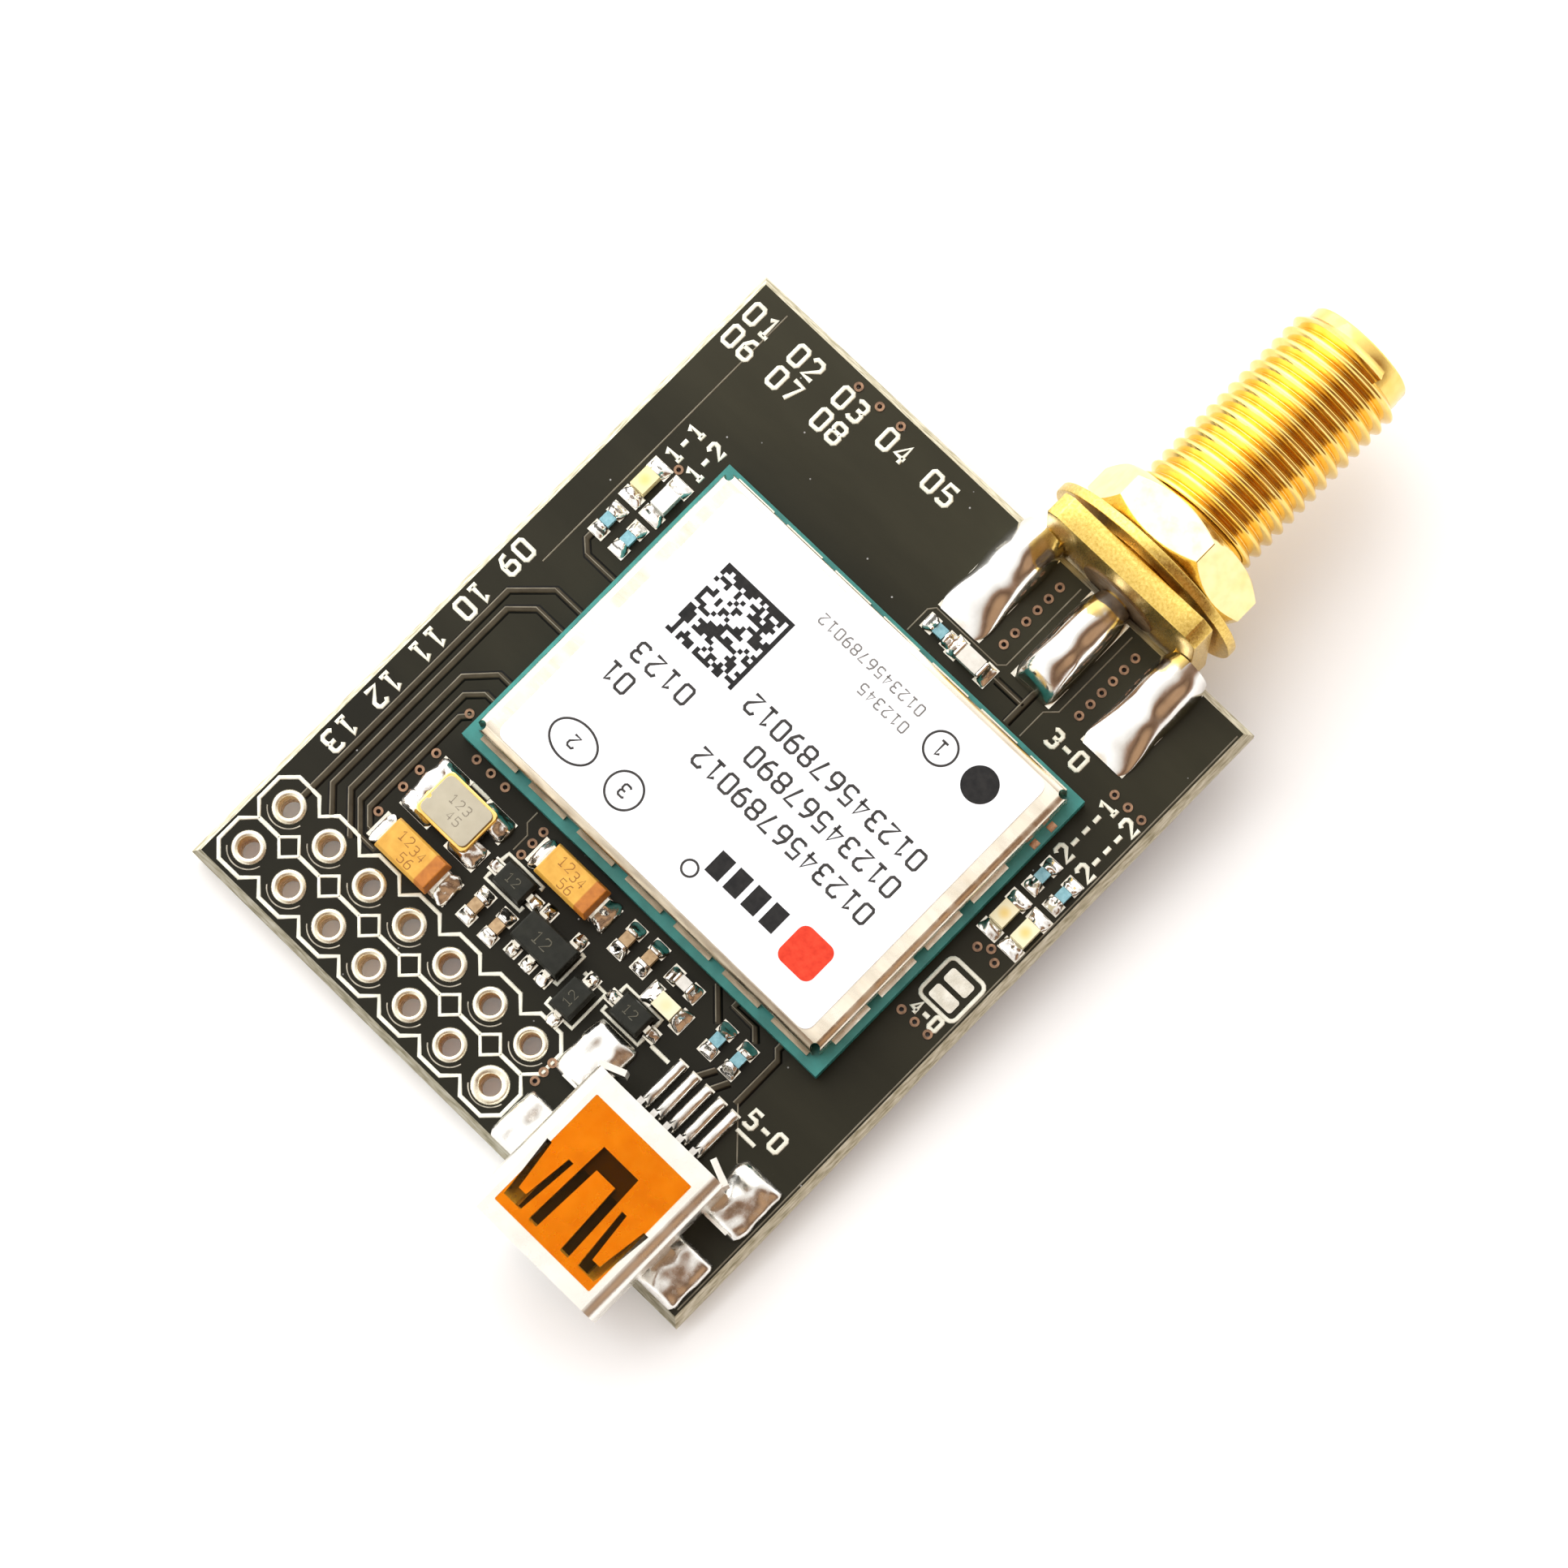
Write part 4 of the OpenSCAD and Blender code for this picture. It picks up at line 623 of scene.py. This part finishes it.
ridge = bmesh.new()
ridge_loop = add_loop(ridge, [(AXIS[0] + r, THREAD_START + y, AXIS[1]) for r, y in RIDGE_PROFILE])
ridge.faces.new([v for v in ridge_loop if isinstance(v, bmesh.types.BMVert)])
steps = round((THREAD_END - THREAD_START) / THREAD_PITCH * SPIN_STEPS)
bmesh.ops.spin(ridge, geom=ridge.verts[:] + ridge.edges[:] + ridge.faces[:], cent=(AXIS[0], 0, AXIS[1]),
               axis=(0, 1, 0), dvec=(0, THREAD_PITCH / SPIN_STEPS, 0), angle=math.tau * steps / SPIN_STEPS,
               steps=steps, use_merge=False)
for v in ridge.verts:
    out = Vector((v.co.x - AXIS[0], v.co.z - AXIS[1]))
    limit = max(RIDGE_FOOT, min(THREAD_R, RIDGE_FOOT + 0.9 * (THREAD_FADE - v.co.y)))
    if out.length > limit:
        out *= limit / out.length
        v.co.x, v.co.z = AXIS[0] + out.x, AXIS[1] + out.y
place_piece("jack_thread", ridge, gold_finish, (), 40)

# Insulator and centre contact: a white fluoropolymer rod pressed into the body, with a gold-plated pin through it.
# Its back end, in and behind the flange, is painted dark brown as shade.
ptfe_finish = make_finish("fluoropolymer", (0.66, 0.64, 0.60), (0.76, 0.74, 0.70), 0.6, (0.4, 0.55), grain=(0.1, 0.003))
# Painted shade: dark brown towards the back end of the rod.
shade_along(ptfe_finish, "Y", (36, 40), 0.5, (0.075, 0.045, 0.022), (0.16, 0.10, 0.05))
dress(ptfe_finish, "jack_insulator")
dress(gold_finish, "jack_contact")

# Washer and nut: gold-plated brass, loose on the thread as they are before the jack goes through a panel.
# Their stamped and cut edges are a little rounded.
dress(satin_gold, "jack_washer")
# The nut's gold is paler than the body's: a painted highlight for the strong light on it.
nut_highlight_gold = make_finish("turned_gold_highlight", (0.95, 0.74, 0.32), (0.99, 0.85, 0.46), 0.8, (0.10, 0.22), 1.0, (0.12, 0.0012))
dress(nut_highlight_gold, "jack_nut")
ease_edges(0.06, "jack_washer", "jack_nut")

# Solder of the jack: hand-soldered mounds over the ground legs, on both faces, and over the centre pin on top.
# Each is high at the flange and runs out to a low tail on its land.
solder_finish = make_finish("solder", (0.74, 0.72, 0.69), (0.88, 0.87, 0.84), 1.2, (0.08, 0.2), 1.0, (1.1, 0.012))
MOUND_BACK = 34.82
MOUND_L = 5.65
GROUND_X = 4.4
SKIRT = 0.03


def along_table(table, t):
    """Value at t on a smooth curve through a table of places and values."""
    i = max(k for k in range(len(table) - 1) if k == 0 or table[k][0] <= t)
    (t0, v0), (t1, v1) = table[i], table[i + 1]
    before, after = table[max(i - 1, 0)], table[min(i + 2, len(table) - 1)]
    slope0 = (v1 - before[1]) / (t1 - before[0]) * (t1 - t0)
    slope1 = (after[1] - v0) / (after[0] - t0) * (t1 - t0)
    s = (t - t0) / (t1 - t0)
    return v0 + s * slope0 + s * s * (3 * (v1 - v0) - 2 * slope0 - slope1) + s ** 3 * (2 * (v0 - v1) + slope0 + slope1)


def add_mound(shape, place, length, widths, heights, base, up=1, turn=0, fullness=2.0, columns=24, rows=32,
              lump=(0.1, 1.3)):
    """Mound from a grid, with tables of its widths and heights along its length, which runs by quarter turns.
    Its lumps have a share of the height and a size in mm."""
    grid = bmesh.ops.create_grid(shape, x_segments=columns, y_segments=rows, size=1.0)["verts"]
    edges = {e for v in grid for e in v.link_edges if e.is_boundary}
    along = Vector((math.sin(turn * math.pi / 2), -math.cos(turn * math.pi / 2)))
    across = Vector((-along.y, along.x))
    for v in grid:
        u, t = math.sin(v.co.x * math.pi / 2), (v.co.y + 1) / 2
        crown = max(0.0, 1 - abs(u) ** fullness) ** 0.5
        spot = Vector(place) + u * along_table(widths, t) * across + t * length * along
        ripple = lump[0] * noise.noise(Vector((spot.x, spot.y, base)) / lump[1])
        spot += 0.35 * u * ripple * along_table(widths, t) * across
        v.co = (spot.x, spot.y, base + up * max(0.0, along_table(heights, t)) * crown * (1 + ripple))
    skirt = bmesh.ops.extrude_edge_only(shape, edges=list(edges))["geom"]
    for v in skirt:
        if isinstance(v, bmesh.types.BMVert):
            v.co.z = base - up * SKIRT
    bmesh.ops.contextual_create(shape, geom=[e for e in skirt if isinstance(e, bmesh.types.BMEdge) and e.is_boundary])


jack_solder = bmesh.new()
ground_w = ((0, 1.1), (0.12, 1.3), (0.38, 1.34), (0.6, 1.27), (0.78, 1.33), (0.93, 1.3), (1, 1.1))
ground_h = ((0, 1.62), (0.1, 1.75), (0.3, 1.72), (0.45, 1.42), (0.58, 1.0), (0.72, 0.74), (0.86, 0.45), (1, 0.04))
tail_w = ((0, 0.85), (0.1, 1.05), (0.25, 1.16), (0.8, 1.18), (0.93, 1.12), (1, 0.9))
tail_h = ((0, 1.25), (0.12, 1.55), (0.4, 1.6), (0.72, 1.5), (0.88, 1.05), (1, 0.04))
for x in (-GROUND_X, GROUND_X):
    add_mound(jack_solder, (AXIS[0] + x, MOUND_BACK), MOUND_L, ground_w, ground_h, SEAT)
    add_mound(jack_solder, (AXIS[0] + x, MOUND_BACK), MOUND_L, ground_w, ground_h, -0.05, -1)
add_mound(jack_solder, (AXIS[0], MOUND_BACK - 0.12), MOUND_L - 0.12, tail_w, tail_h, SEAT)
place_piece("jack_mounds", jack_solder, solder_finish, ("jack_solder",), 60)

# Mini-B socket: bright tinned sheet folded round a black housing with five gold contacts.
# An amber film covers the spring slots on top, for the machine that picked it up.
shell_finish = make_finish("bright_tin", (0.86, 0.83, 0.76), (0.94, 0.92, 0.86), 1.5, (0.24, 0.34), 1.0, (0.12, 0.0015))
dress(shell_finish, "socket_shell")
ease_edges(0.06, "socket_shell")
housing_finish = make_finish("black_plastic", (0.010, 0.010, 0.010), (0.018, 0.018, 0.018), 0.5, (0.5, 0.65),
                             grain=(0.08, 0.005))
dress(housing_finish, "socket_housing")
contact_finish = gold_finish.copy()
contact_finish.name = "tinned_tails"
shade_along(contact_finish, "Y", (3.2, 3.6), 0.4, (0.68, 0.65, 0.60), (0.84, 0.82, 0.78), before=False)
dress(contact_finish, "socket_contacts")
film_finish = make_finish("amber_film", (0.91, 0.44, 0.030), (0.94, 0.49, 0.050), 0.8, (0.04, 0.08), grain=(0.6, 0.002))
film_shader = film_finish.node_tree.nodes["Principled BSDF"]
film_shader.inputs["Transmission Weight"].default_value = 1.0
film_shader.inputs["IOR"].default_value = 1.15
low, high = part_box("socket_film")
film = bmesh.new()
film_size = (high - low) / MM
film_middle = (high + low) / 2 / MM + Vector((0, 0, 0.01))
bmesh.ops.create_cube(film, size=1.0, matrix=Matrix.Translation(film_middle)
                      @ Matrix.Diagonal((film_size.x, film_size.y, film_size.z - 0.02, 1)))
round_edges(film, upright_edges(film), 0.06, 3)
place_piece("pick_up_film", film, film_finish, ("socket_film",))

SOCKET_X = 22.31
FOOT_X = 4.48
CONTACT_PITCH = 0.8
marbled_solder = make_finish("wiped_solder", (0.70, 0.68, 0.64), (0.90, 0.89, 0.86), 0.5, (0.14, 0.32), 1.0,
                             (0.7, 0.012))
socket_solder = bmesh.new()
blob_w = ((0, 1.02), (0.1, 1.16), (0.5, 1.19), (0.9, 1.16), (1, 1.0))
blob_h = ((0, 0.2), (0.08, 0.5), (0.4, 0.58), (0.6, 0.52), (0.9, 0.52), (1, 0.2))
for x in (-FOOT_X, FOOT_X):
    for y, length in ((1.2, 2.76), (5.58, 3.05)):
        add_mound(socket_solder, (SOCKET_X + x, y), length, blob_w, blob_h, SEAT, 1, 0, 3.0, 28, 32, (0.3, 0.9))
bar_w = ((0, 0.27), (0.1, 0.28), (0.9, 0.28), (1, 0.2))
bar_h = ((0, 0.30), (0.06, 0.36), (0.6, 0.38), (0.88, 0.32), (1, 0.06))
for i in range(5):
    place = (SOCKET_X + (i - 2) * CONTACT_PITCH, 6.6)
    add_mound(socket_solder, place, 2.6, bar_w, bar_h, SEAT, 1, 0, 3.2, 16, 20, (0.15, 0.6))
place_piece("socket_mounds", socket_solder, marbled_solder, ("socket_solder",), 60)

# Crystal oscillator: a gold-rimmed ceramic base with a seam-welded metal lid, on four solder pools.
# The pools stand out past its sides, and solder also runs along its left side.
OSCILLATOR = (5.67, 7.57)
GOLD_RISE = (SEAT + 0.42, SEAT + 0.46)
base_finish = gold_finish.copy()
base_finish.name = "oscillator_ceramic"
gilt = shade_along(base_finish, "Z", GOLD_RISE, 0.4, (0.020, 0.020, 0.024), (0.040, 0.040, 0.046))
base_tree = base_finish.node_tree
base_tree.links.new(gilt, base_tree.nodes["Principled BSDF"].inputs["Metallic"])
dress(base_finish, "oscillator_base")
dress(lid_finish, "oscillator_lid")
ease_edges(0.07, "oscillator_base", "oscillator_lid")
rough_solder = make_finish("reflowed_solder", (0.66, 0.63, 0.59), (0.88, 0.86, 0.83), 0.4, (0.08, 0.2), 1.0,
                           (0.35, 0.03))
pools = bmesh.new()
pool_w = ((0, 0.7), (0.15, 0.85), (0.85, 0.85), (1, 0.65))
pool_h = ((0, 0.05), (0.25, 0.42), (0.6, 0.5), (0.85, 0.36), (1, 0.03))
left_w = ((0, 0.35), (0.06, 0.55), (0.94, 0.55), (1, 0.35))
left_h = ((0, 0.05), (0.15, 0.40), (0.5, 0.34), (0.85, 0.42), (1, 0.03))
left_place = (OSCILLATOR[0] - 1.75, OSCILLATOR[1] + 1.47)
add_mound(pools, left_place, 2.94, left_w, left_h, SEAT, 1, 0, 2.4, 20, 28, (0.5, 0.6))
for x, y in ((1.4, 1.47), (1.4, -0.22), (-1.4, 1.47), (-1.4, -0.22)):
    add_mound(pools, (OSCILLATOR[0] + x, OSCILLATOR[1] + y), 1.25, pool_w, pool_h, SEAT, 1, 0, 2.4, 20, 20, (0.5, 0.5))
place_piece("oscillator_pools", pools, rough_solder, ("oscillator_solder",), 60)

# Tantalum capacitors: moulded orange epoxy, tapered for the mould, with a darker printed band at the positive end.
# Their tinned strips fold down and under both ends.
TANTALUMS = {"tantalum_capacitor_1": (5.72, 4.8), "tantalum_capacitor_2": (11.62, 8.9)}
TERMINAL_X = 1.6
for name in TANTALUMS:
    moulded = make_finish(name + "_epoxy", (0.62, 0.31, 0.034), (0.76, 0.43, 0.065), 0.5, (0.42, 0.56),
                          grain=(0.08, 0.004))
    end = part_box(name)[1].x / MM
    shade_along(moulded, "X", (end - 0.75, end - 0.68), 0.3, (0.42, 0.13, 0.010), (0.55, 0.19, 0.020), before=False)
    dress(moulded, name)
dress(tin_finish, "tantalum_terminals")
ends = bmesh.new()
end_w = ((0, 0.66), (0.3, 0.76), (0.8, 0.76), (1, 0.55))
end_h = ((0, 0.62), (0.3, 0.5), (0.65, 0.28), (0.9, 0.16), (1, 0.02))
for x, y in TANTALUMS.values():
    add_mound(ends, (x + TERMINAL_X, y), 0.82, end_w, end_h, SEAT, 1, 1, 2.2, 18, 18, (0.5, 0.45))
    add_mound(ends, (x - TERMINAL_X, y), 0.7, end_w, end_h, SEAT, 1, 3, 2.2, 18, 18, (0.5, 0.45))
place_piece("tantalum_fillets", ends, rough_solder)
ease_edges(0.05, *TANTALUMS)

# Regulator and diodes: black moulded packages with tinned gull-wing leads, bent from one strip.
# They, the tantalum capacitors and the oscillator's lid carry faint marks of plain digits.
dress(chip_finish, "regulator_body", "diode_1", "diode_2", "diode_3")
ease_edges(0.05, "regulator_body", "diode_1", "diode_2", "diode_3")
dress(tin_finish, "regulator_leads", "diode_leads")

faint_print = make_finish("laser_mark", (0.070, 0.066, 0.045), (0.120, 0.112, 0.078), 0.2, (0.5, 0.6))
brown_print = make_finish("burnt_mark", (0.30, 0.115, 0.012), (0.38, 0.16, 0.020), 0.2, (0.5, 0.6))
lid_print = make_finish("etched_mark", (0.24, 0.215, 0.165), (0.30, 0.27, 0.21), 0.2, (0.4, 0.5))


def mark_top(name, finish, slot, lines, width):
    """Strokes on a part's upper face, measured from its middle."""
    low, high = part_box(name)
    middle = ((low + high) / 2 / MM).to_2d()
    placed = [[(middle.x + x, middle.y + y) for x, y in line] for line in lines]
    lay_ribbons(name + "_mark", placed, width, 0.01, high.z / MM, finish, slot)


mark_top("regulator_body", faint_print, "chip_moulding", write_digits("12", (-0.55, -0.3), 0.55, 0.5), 0.06)
for name, turn, start in (("diode_1", 0, (-0.4, -0.2)), ("diode_2", 0, (-0.4, -0.2)), ("diode_3", 1, (0.2, -0.4))):
    mark_top(name, faint_print, "chip_moulding", write_digits("12", start, 0.42, 0.4, turn), 0.05)
for name in TANTALUMS:
    lines = write_digits("12", (-0.95, 0.1), 0.45, 0.42) + write_digits("34", (-0.1, -0.05), 0.45, 0.42)
    lines += write_digits("56", (-0.3, -0.65), 0.45, 0.42)
    mark_top(name, brown_print, "tantalum_epoxy", lines, 0.055)
lines = write_digits("123", (-0.6, 0.1), 0.42, 0.42) + write_digits("45", (-0.2, -0.55), 0.42, 0.42)
mark_top("oscillator_lid", lid_print, "oscillator_lid", lines, 0.055)

# Chip parts: ceramic blocks with dipped metal ends, and the lights with clear mouldings on their base plates.
# All stand in small fillets of reflowed solder.
glaze_finish = make_finish("blue_glaze", (0.16, 0.38, 0.46), (0.28, 0.54, 0.62), 0.25, (0.2, 0.35))
dress(ceramic_finish, *[f"chip_capacitor_{i}" for i in range(1, 5)])
dress(glaze_finish, *[f"chip_resistor_{i}" for i in range(1, 8)])
pale_finish = make_finish("pale_ceramic", (0.70, 0.69, 0.65), (0.84, 0.83, 0.79), 0.3, (0.35, 0.5))
dress(pale_finish, "ferrite_bead", "antenna_coil")
for name, shell, core in (("status_light_1", (0.84, 0.74, 0.42), (0.86, 0.62, 0.16)),
                          ("status_light_2", (0.82, 0.81, 0.76), (0.86, 0.84, 0.74)),
                          ("status_light_3", (0.88, 0.82, 0.56), (0.86, 0.58, 0.08)),
                          ("status_light_4", (0.88, 0.82, 0.56), (0.86, 0.58, 0.08)),
                          ("power_light", (0.90, 0.84, 0.60), (0.86, 0.74, 0.40))):
    clear = make_finish(name + "_moulding", shell, shell, 0.3, (0.12, 0.22))
    tree = clear.node_tree
    low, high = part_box(name)
    centred = make_node(tree, "Mapping", {"Vector": own_place(tree)}, Location=tuple(-(low + high) / 2))
    reach = make_node(tree, "VectorMath", {0: centred.outputs["Vector"]}, {"operation": "LENGTH"}).outputs["Value"]
    near = share_between(tree, reach, 0.25 * MM, 0.48 * MM)
    tree.links.new(graded(tree, near, (0.0, core), (1.0, shell)), tree.nodes["Principled BSDF"].inputs["Base Color"])
    dress(clear, name)
dress(rough_solder, "chip_terminals")
ease_edges(0.1, "chip_terminals")
FILLET_L = 0.6
FILLET_LAP = 0.2
fillets = bmesh.new()
small = [f"chip_resistor_{i}" for i in range(1, 7)] + [f"chip_capacitor_{i}" for i in range(1, 5)]
chips = [(name, 0.5, 0.27, 0.42, 0) for name in small]
chips += [(name, 0.5, 0.27, 0.42, 1) for name in ("chip_resistor_7", "ferrite_bead")]
chips += [(f"status_light_{i}", 0.8, 0.4, 0.34, 0) for i in range(1, 5)]
chips += [(name, 0.8, 0.4, 0.4, 1) for name in ("power_light", "antenna_coil")]
for name, half_l, half_w, rise, turn in chips:
    low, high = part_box(name)
    middle = ((low + high) / 2 / MM).to_2d()
    fillet_w = ((0, half_w + 0.05), (0.3, half_w + 0.12), (0.85, half_w + 0.13), (1, half_w - 0.02))
    fillet_h = ((0, rise), (0.3, 0.9 * rise), (0.6, 0.45 * rise), (0.85, 0.2 * rise), (1, 0.02))
    for way in (turn, turn + 2):
        along = Vector((math.sin(way * math.pi / 2), -math.cos(way * math.pi / 2)))
        start = middle + (half_l - FILLET_LAP) * along
        add_mound(fillets, start, FILLET_L, fillet_w, fillet_h, SEAT, 1, way, 2.2, 14, 14, (0.6, 0.3))
REGULATOR = (12.67, 6.1)
LEVEL_DIODES = ((9.77, 7.1), (17.62, 6.55))
UPRIGHT_DIODE = (15.22, 5.22)
DIODE_LEAD = 1.2
FOOT_HALF = 0.36
leads = [((REGULATOR[0] + x, REGULATOR[1] + y), 1)
         for x, y in ((-0.95, -1.15), (0, -1.15), (0.95, -1.15), (-0.95, 1.15), (0.95, 1.15))]
leads += [((x + reach, y), 0) for x, y in LEVEL_DIODES for reach in (-DIODE_LEAD, DIODE_LEAD)]
leads += [((UPRIGHT_DIODE[0], UPRIGHT_DIODE[1] + reach), 1) for reach in (-DIODE_LEAD, DIODE_LEAD)]
lead_w = ((0, 0.2), (0.25, 0.28), (0.75, 0.28), (1, 0.18))
lead_h = ((0, 0.08), (0.35, 0.27), (0.7, 0.22), (1, 0.03))
for (x, y), upright in leads:
    start = (x, y + FOOT_HALF) if upright else (x - FOOT_HALF, y)
    add_mound(fillets, start, 2 * FOOT_HALF, lead_w, lead_h, SEAT, 1, 0 if upright else 1, 2.4, 12, 12, (0.5, 0.3))
place_piece("chip_fillets", fillets, rough_solder, ("chip_solder",), 60)

# Studio: a white table that the part rests on by its header edge and its washer, and soft light from the left.
# The table glows a little at the left. The surround is white there and dims to one brown patch above the right,
# which the bright metal mirrors.
HEADER_EDGE = -1.55
WASHER_DROP = 3.015
WASHER_REACH = 37.92
table_slope = math.atan2(WASHER_DROP, WASHER_REACH)
table_shape = bmesh.new()
bmesh.ops.create_grid(table_shape, x_segments=1, y_segments=1, size=1.5)
bmesh.ops.transform(table_shape, verts=table_shape.verts, matrix=Matrix.Translation((0, HEADER_EDGE * MM, 0))
                    @ Matrix.Rotation(-table_slope, 4, "X"))
table_mesh = bpy.data.meshes.new("table")
table_shape.to_mesh(table_mesh)
table_shape.free()
table_finish = make_finish("white_table", (0.86, 0.86, 0.87), (0.90, 0.90, 0.91), 40.0, (0.8, 0.9))
table_shader = table_finish.node_tree.nodes["Principled BSDF"]
table_shader.inputs["Emission Color"].default_value = (0.86, 0.93, 1.0, 1)
table_tree = table_finish.node_tree
across = make_node(table_tree, "SeparateXYZ", {"Vector": own_place(table_tree)}).outputs["X"]
glow = make_node(table_tree, "MapRange", {"Value": across}, From_Min=-2 * MM, From_Max=-30 * MM, To_Min=0.12,
                 To_Max=0.8)
table_tree.links.new(glow.outputs["Result"], table_shader.inputs["Emission Strength"])
table_mesh.materials.append(table_finish)
table = bpy.data.objects.new("table", table_mesh)
bpy.context.scene.collection.objects.link(table)

surround = bpy.data.worlds.new("surround")
surround.use_nodes = True
sky = surround.node_tree
backdrop = sky.nodes["Background"]
outward = make_node(sky, "TexCoord").outputs["Generated"]
towards = make_node(sky, "VectorMath", {0: outward}, {"operation": "DOT_PRODUCT"})
towards.inputs[1].default_value = (0.76, -0.05, 0.65)
patch = graded(sky, towards.outputs["Value"], (0.0, (1.0, 0.99, 0.96)), (0.3, (0.66, 0.65, 0.64)),
               (0.52, (0.51, 0.50, 0.49)), (0.64, (0.42, 0.40, 0.375)), (0.77, (0.16, 0.095, 0.06)),
               (0.87, (0.08, 0.046, 0.028)), (0.97, (0.23, 0.14, 0.08)))
sky.links.new(patch, backdrop.inputs["Color"])
backdrop.inputs["Strength"].default_value = 2.3
bpy.context.scene.world = surround

key_data = bpy.data.lights.new("key", "AREA")
key_data.size = 420 * MM
key_data.energy = 0.7
key_data.color = (1.0, 0.99, 0.97)
key = bpy.data.objects.new("key", key_data)
key_place = Vector((-260, 160, 330))
aim = Vector((13, 18, 0)) - key_place
key.matrix_world = Matrix.Translation(key_place * MM) @ aim.to_track_quat("-Z", "Y").to_matrix().to_4x4()
bpy.context.scene.collection.objects.link(key)

camera_data = bpy.data.cameras.new("camera")
camera_data.sensor_width = 36
camera_data.lens = 118.27
camera_data.clip_start = 0.005
camera = bpy.data.objects.new("camera", camera_data)
right = Vector((0.71358, 0.69940, -0.04049))
above = Vector((-0.68509, 0.70872, 0.16841))
behind = Vector((0.14648, -0.09243, 0.98489))
stand = Matrix((right, above, behind)).transposed().to_4x4()
stand.translation = Vector((48.65, -2.53, 226.96)) * MM
camera.matrix_world = stand
bpy.context.scene.collection.objects.link(camera)
bpy.context.scene.camera = camera
bpy.context.scene.view_settings.view_transform = "Standard"
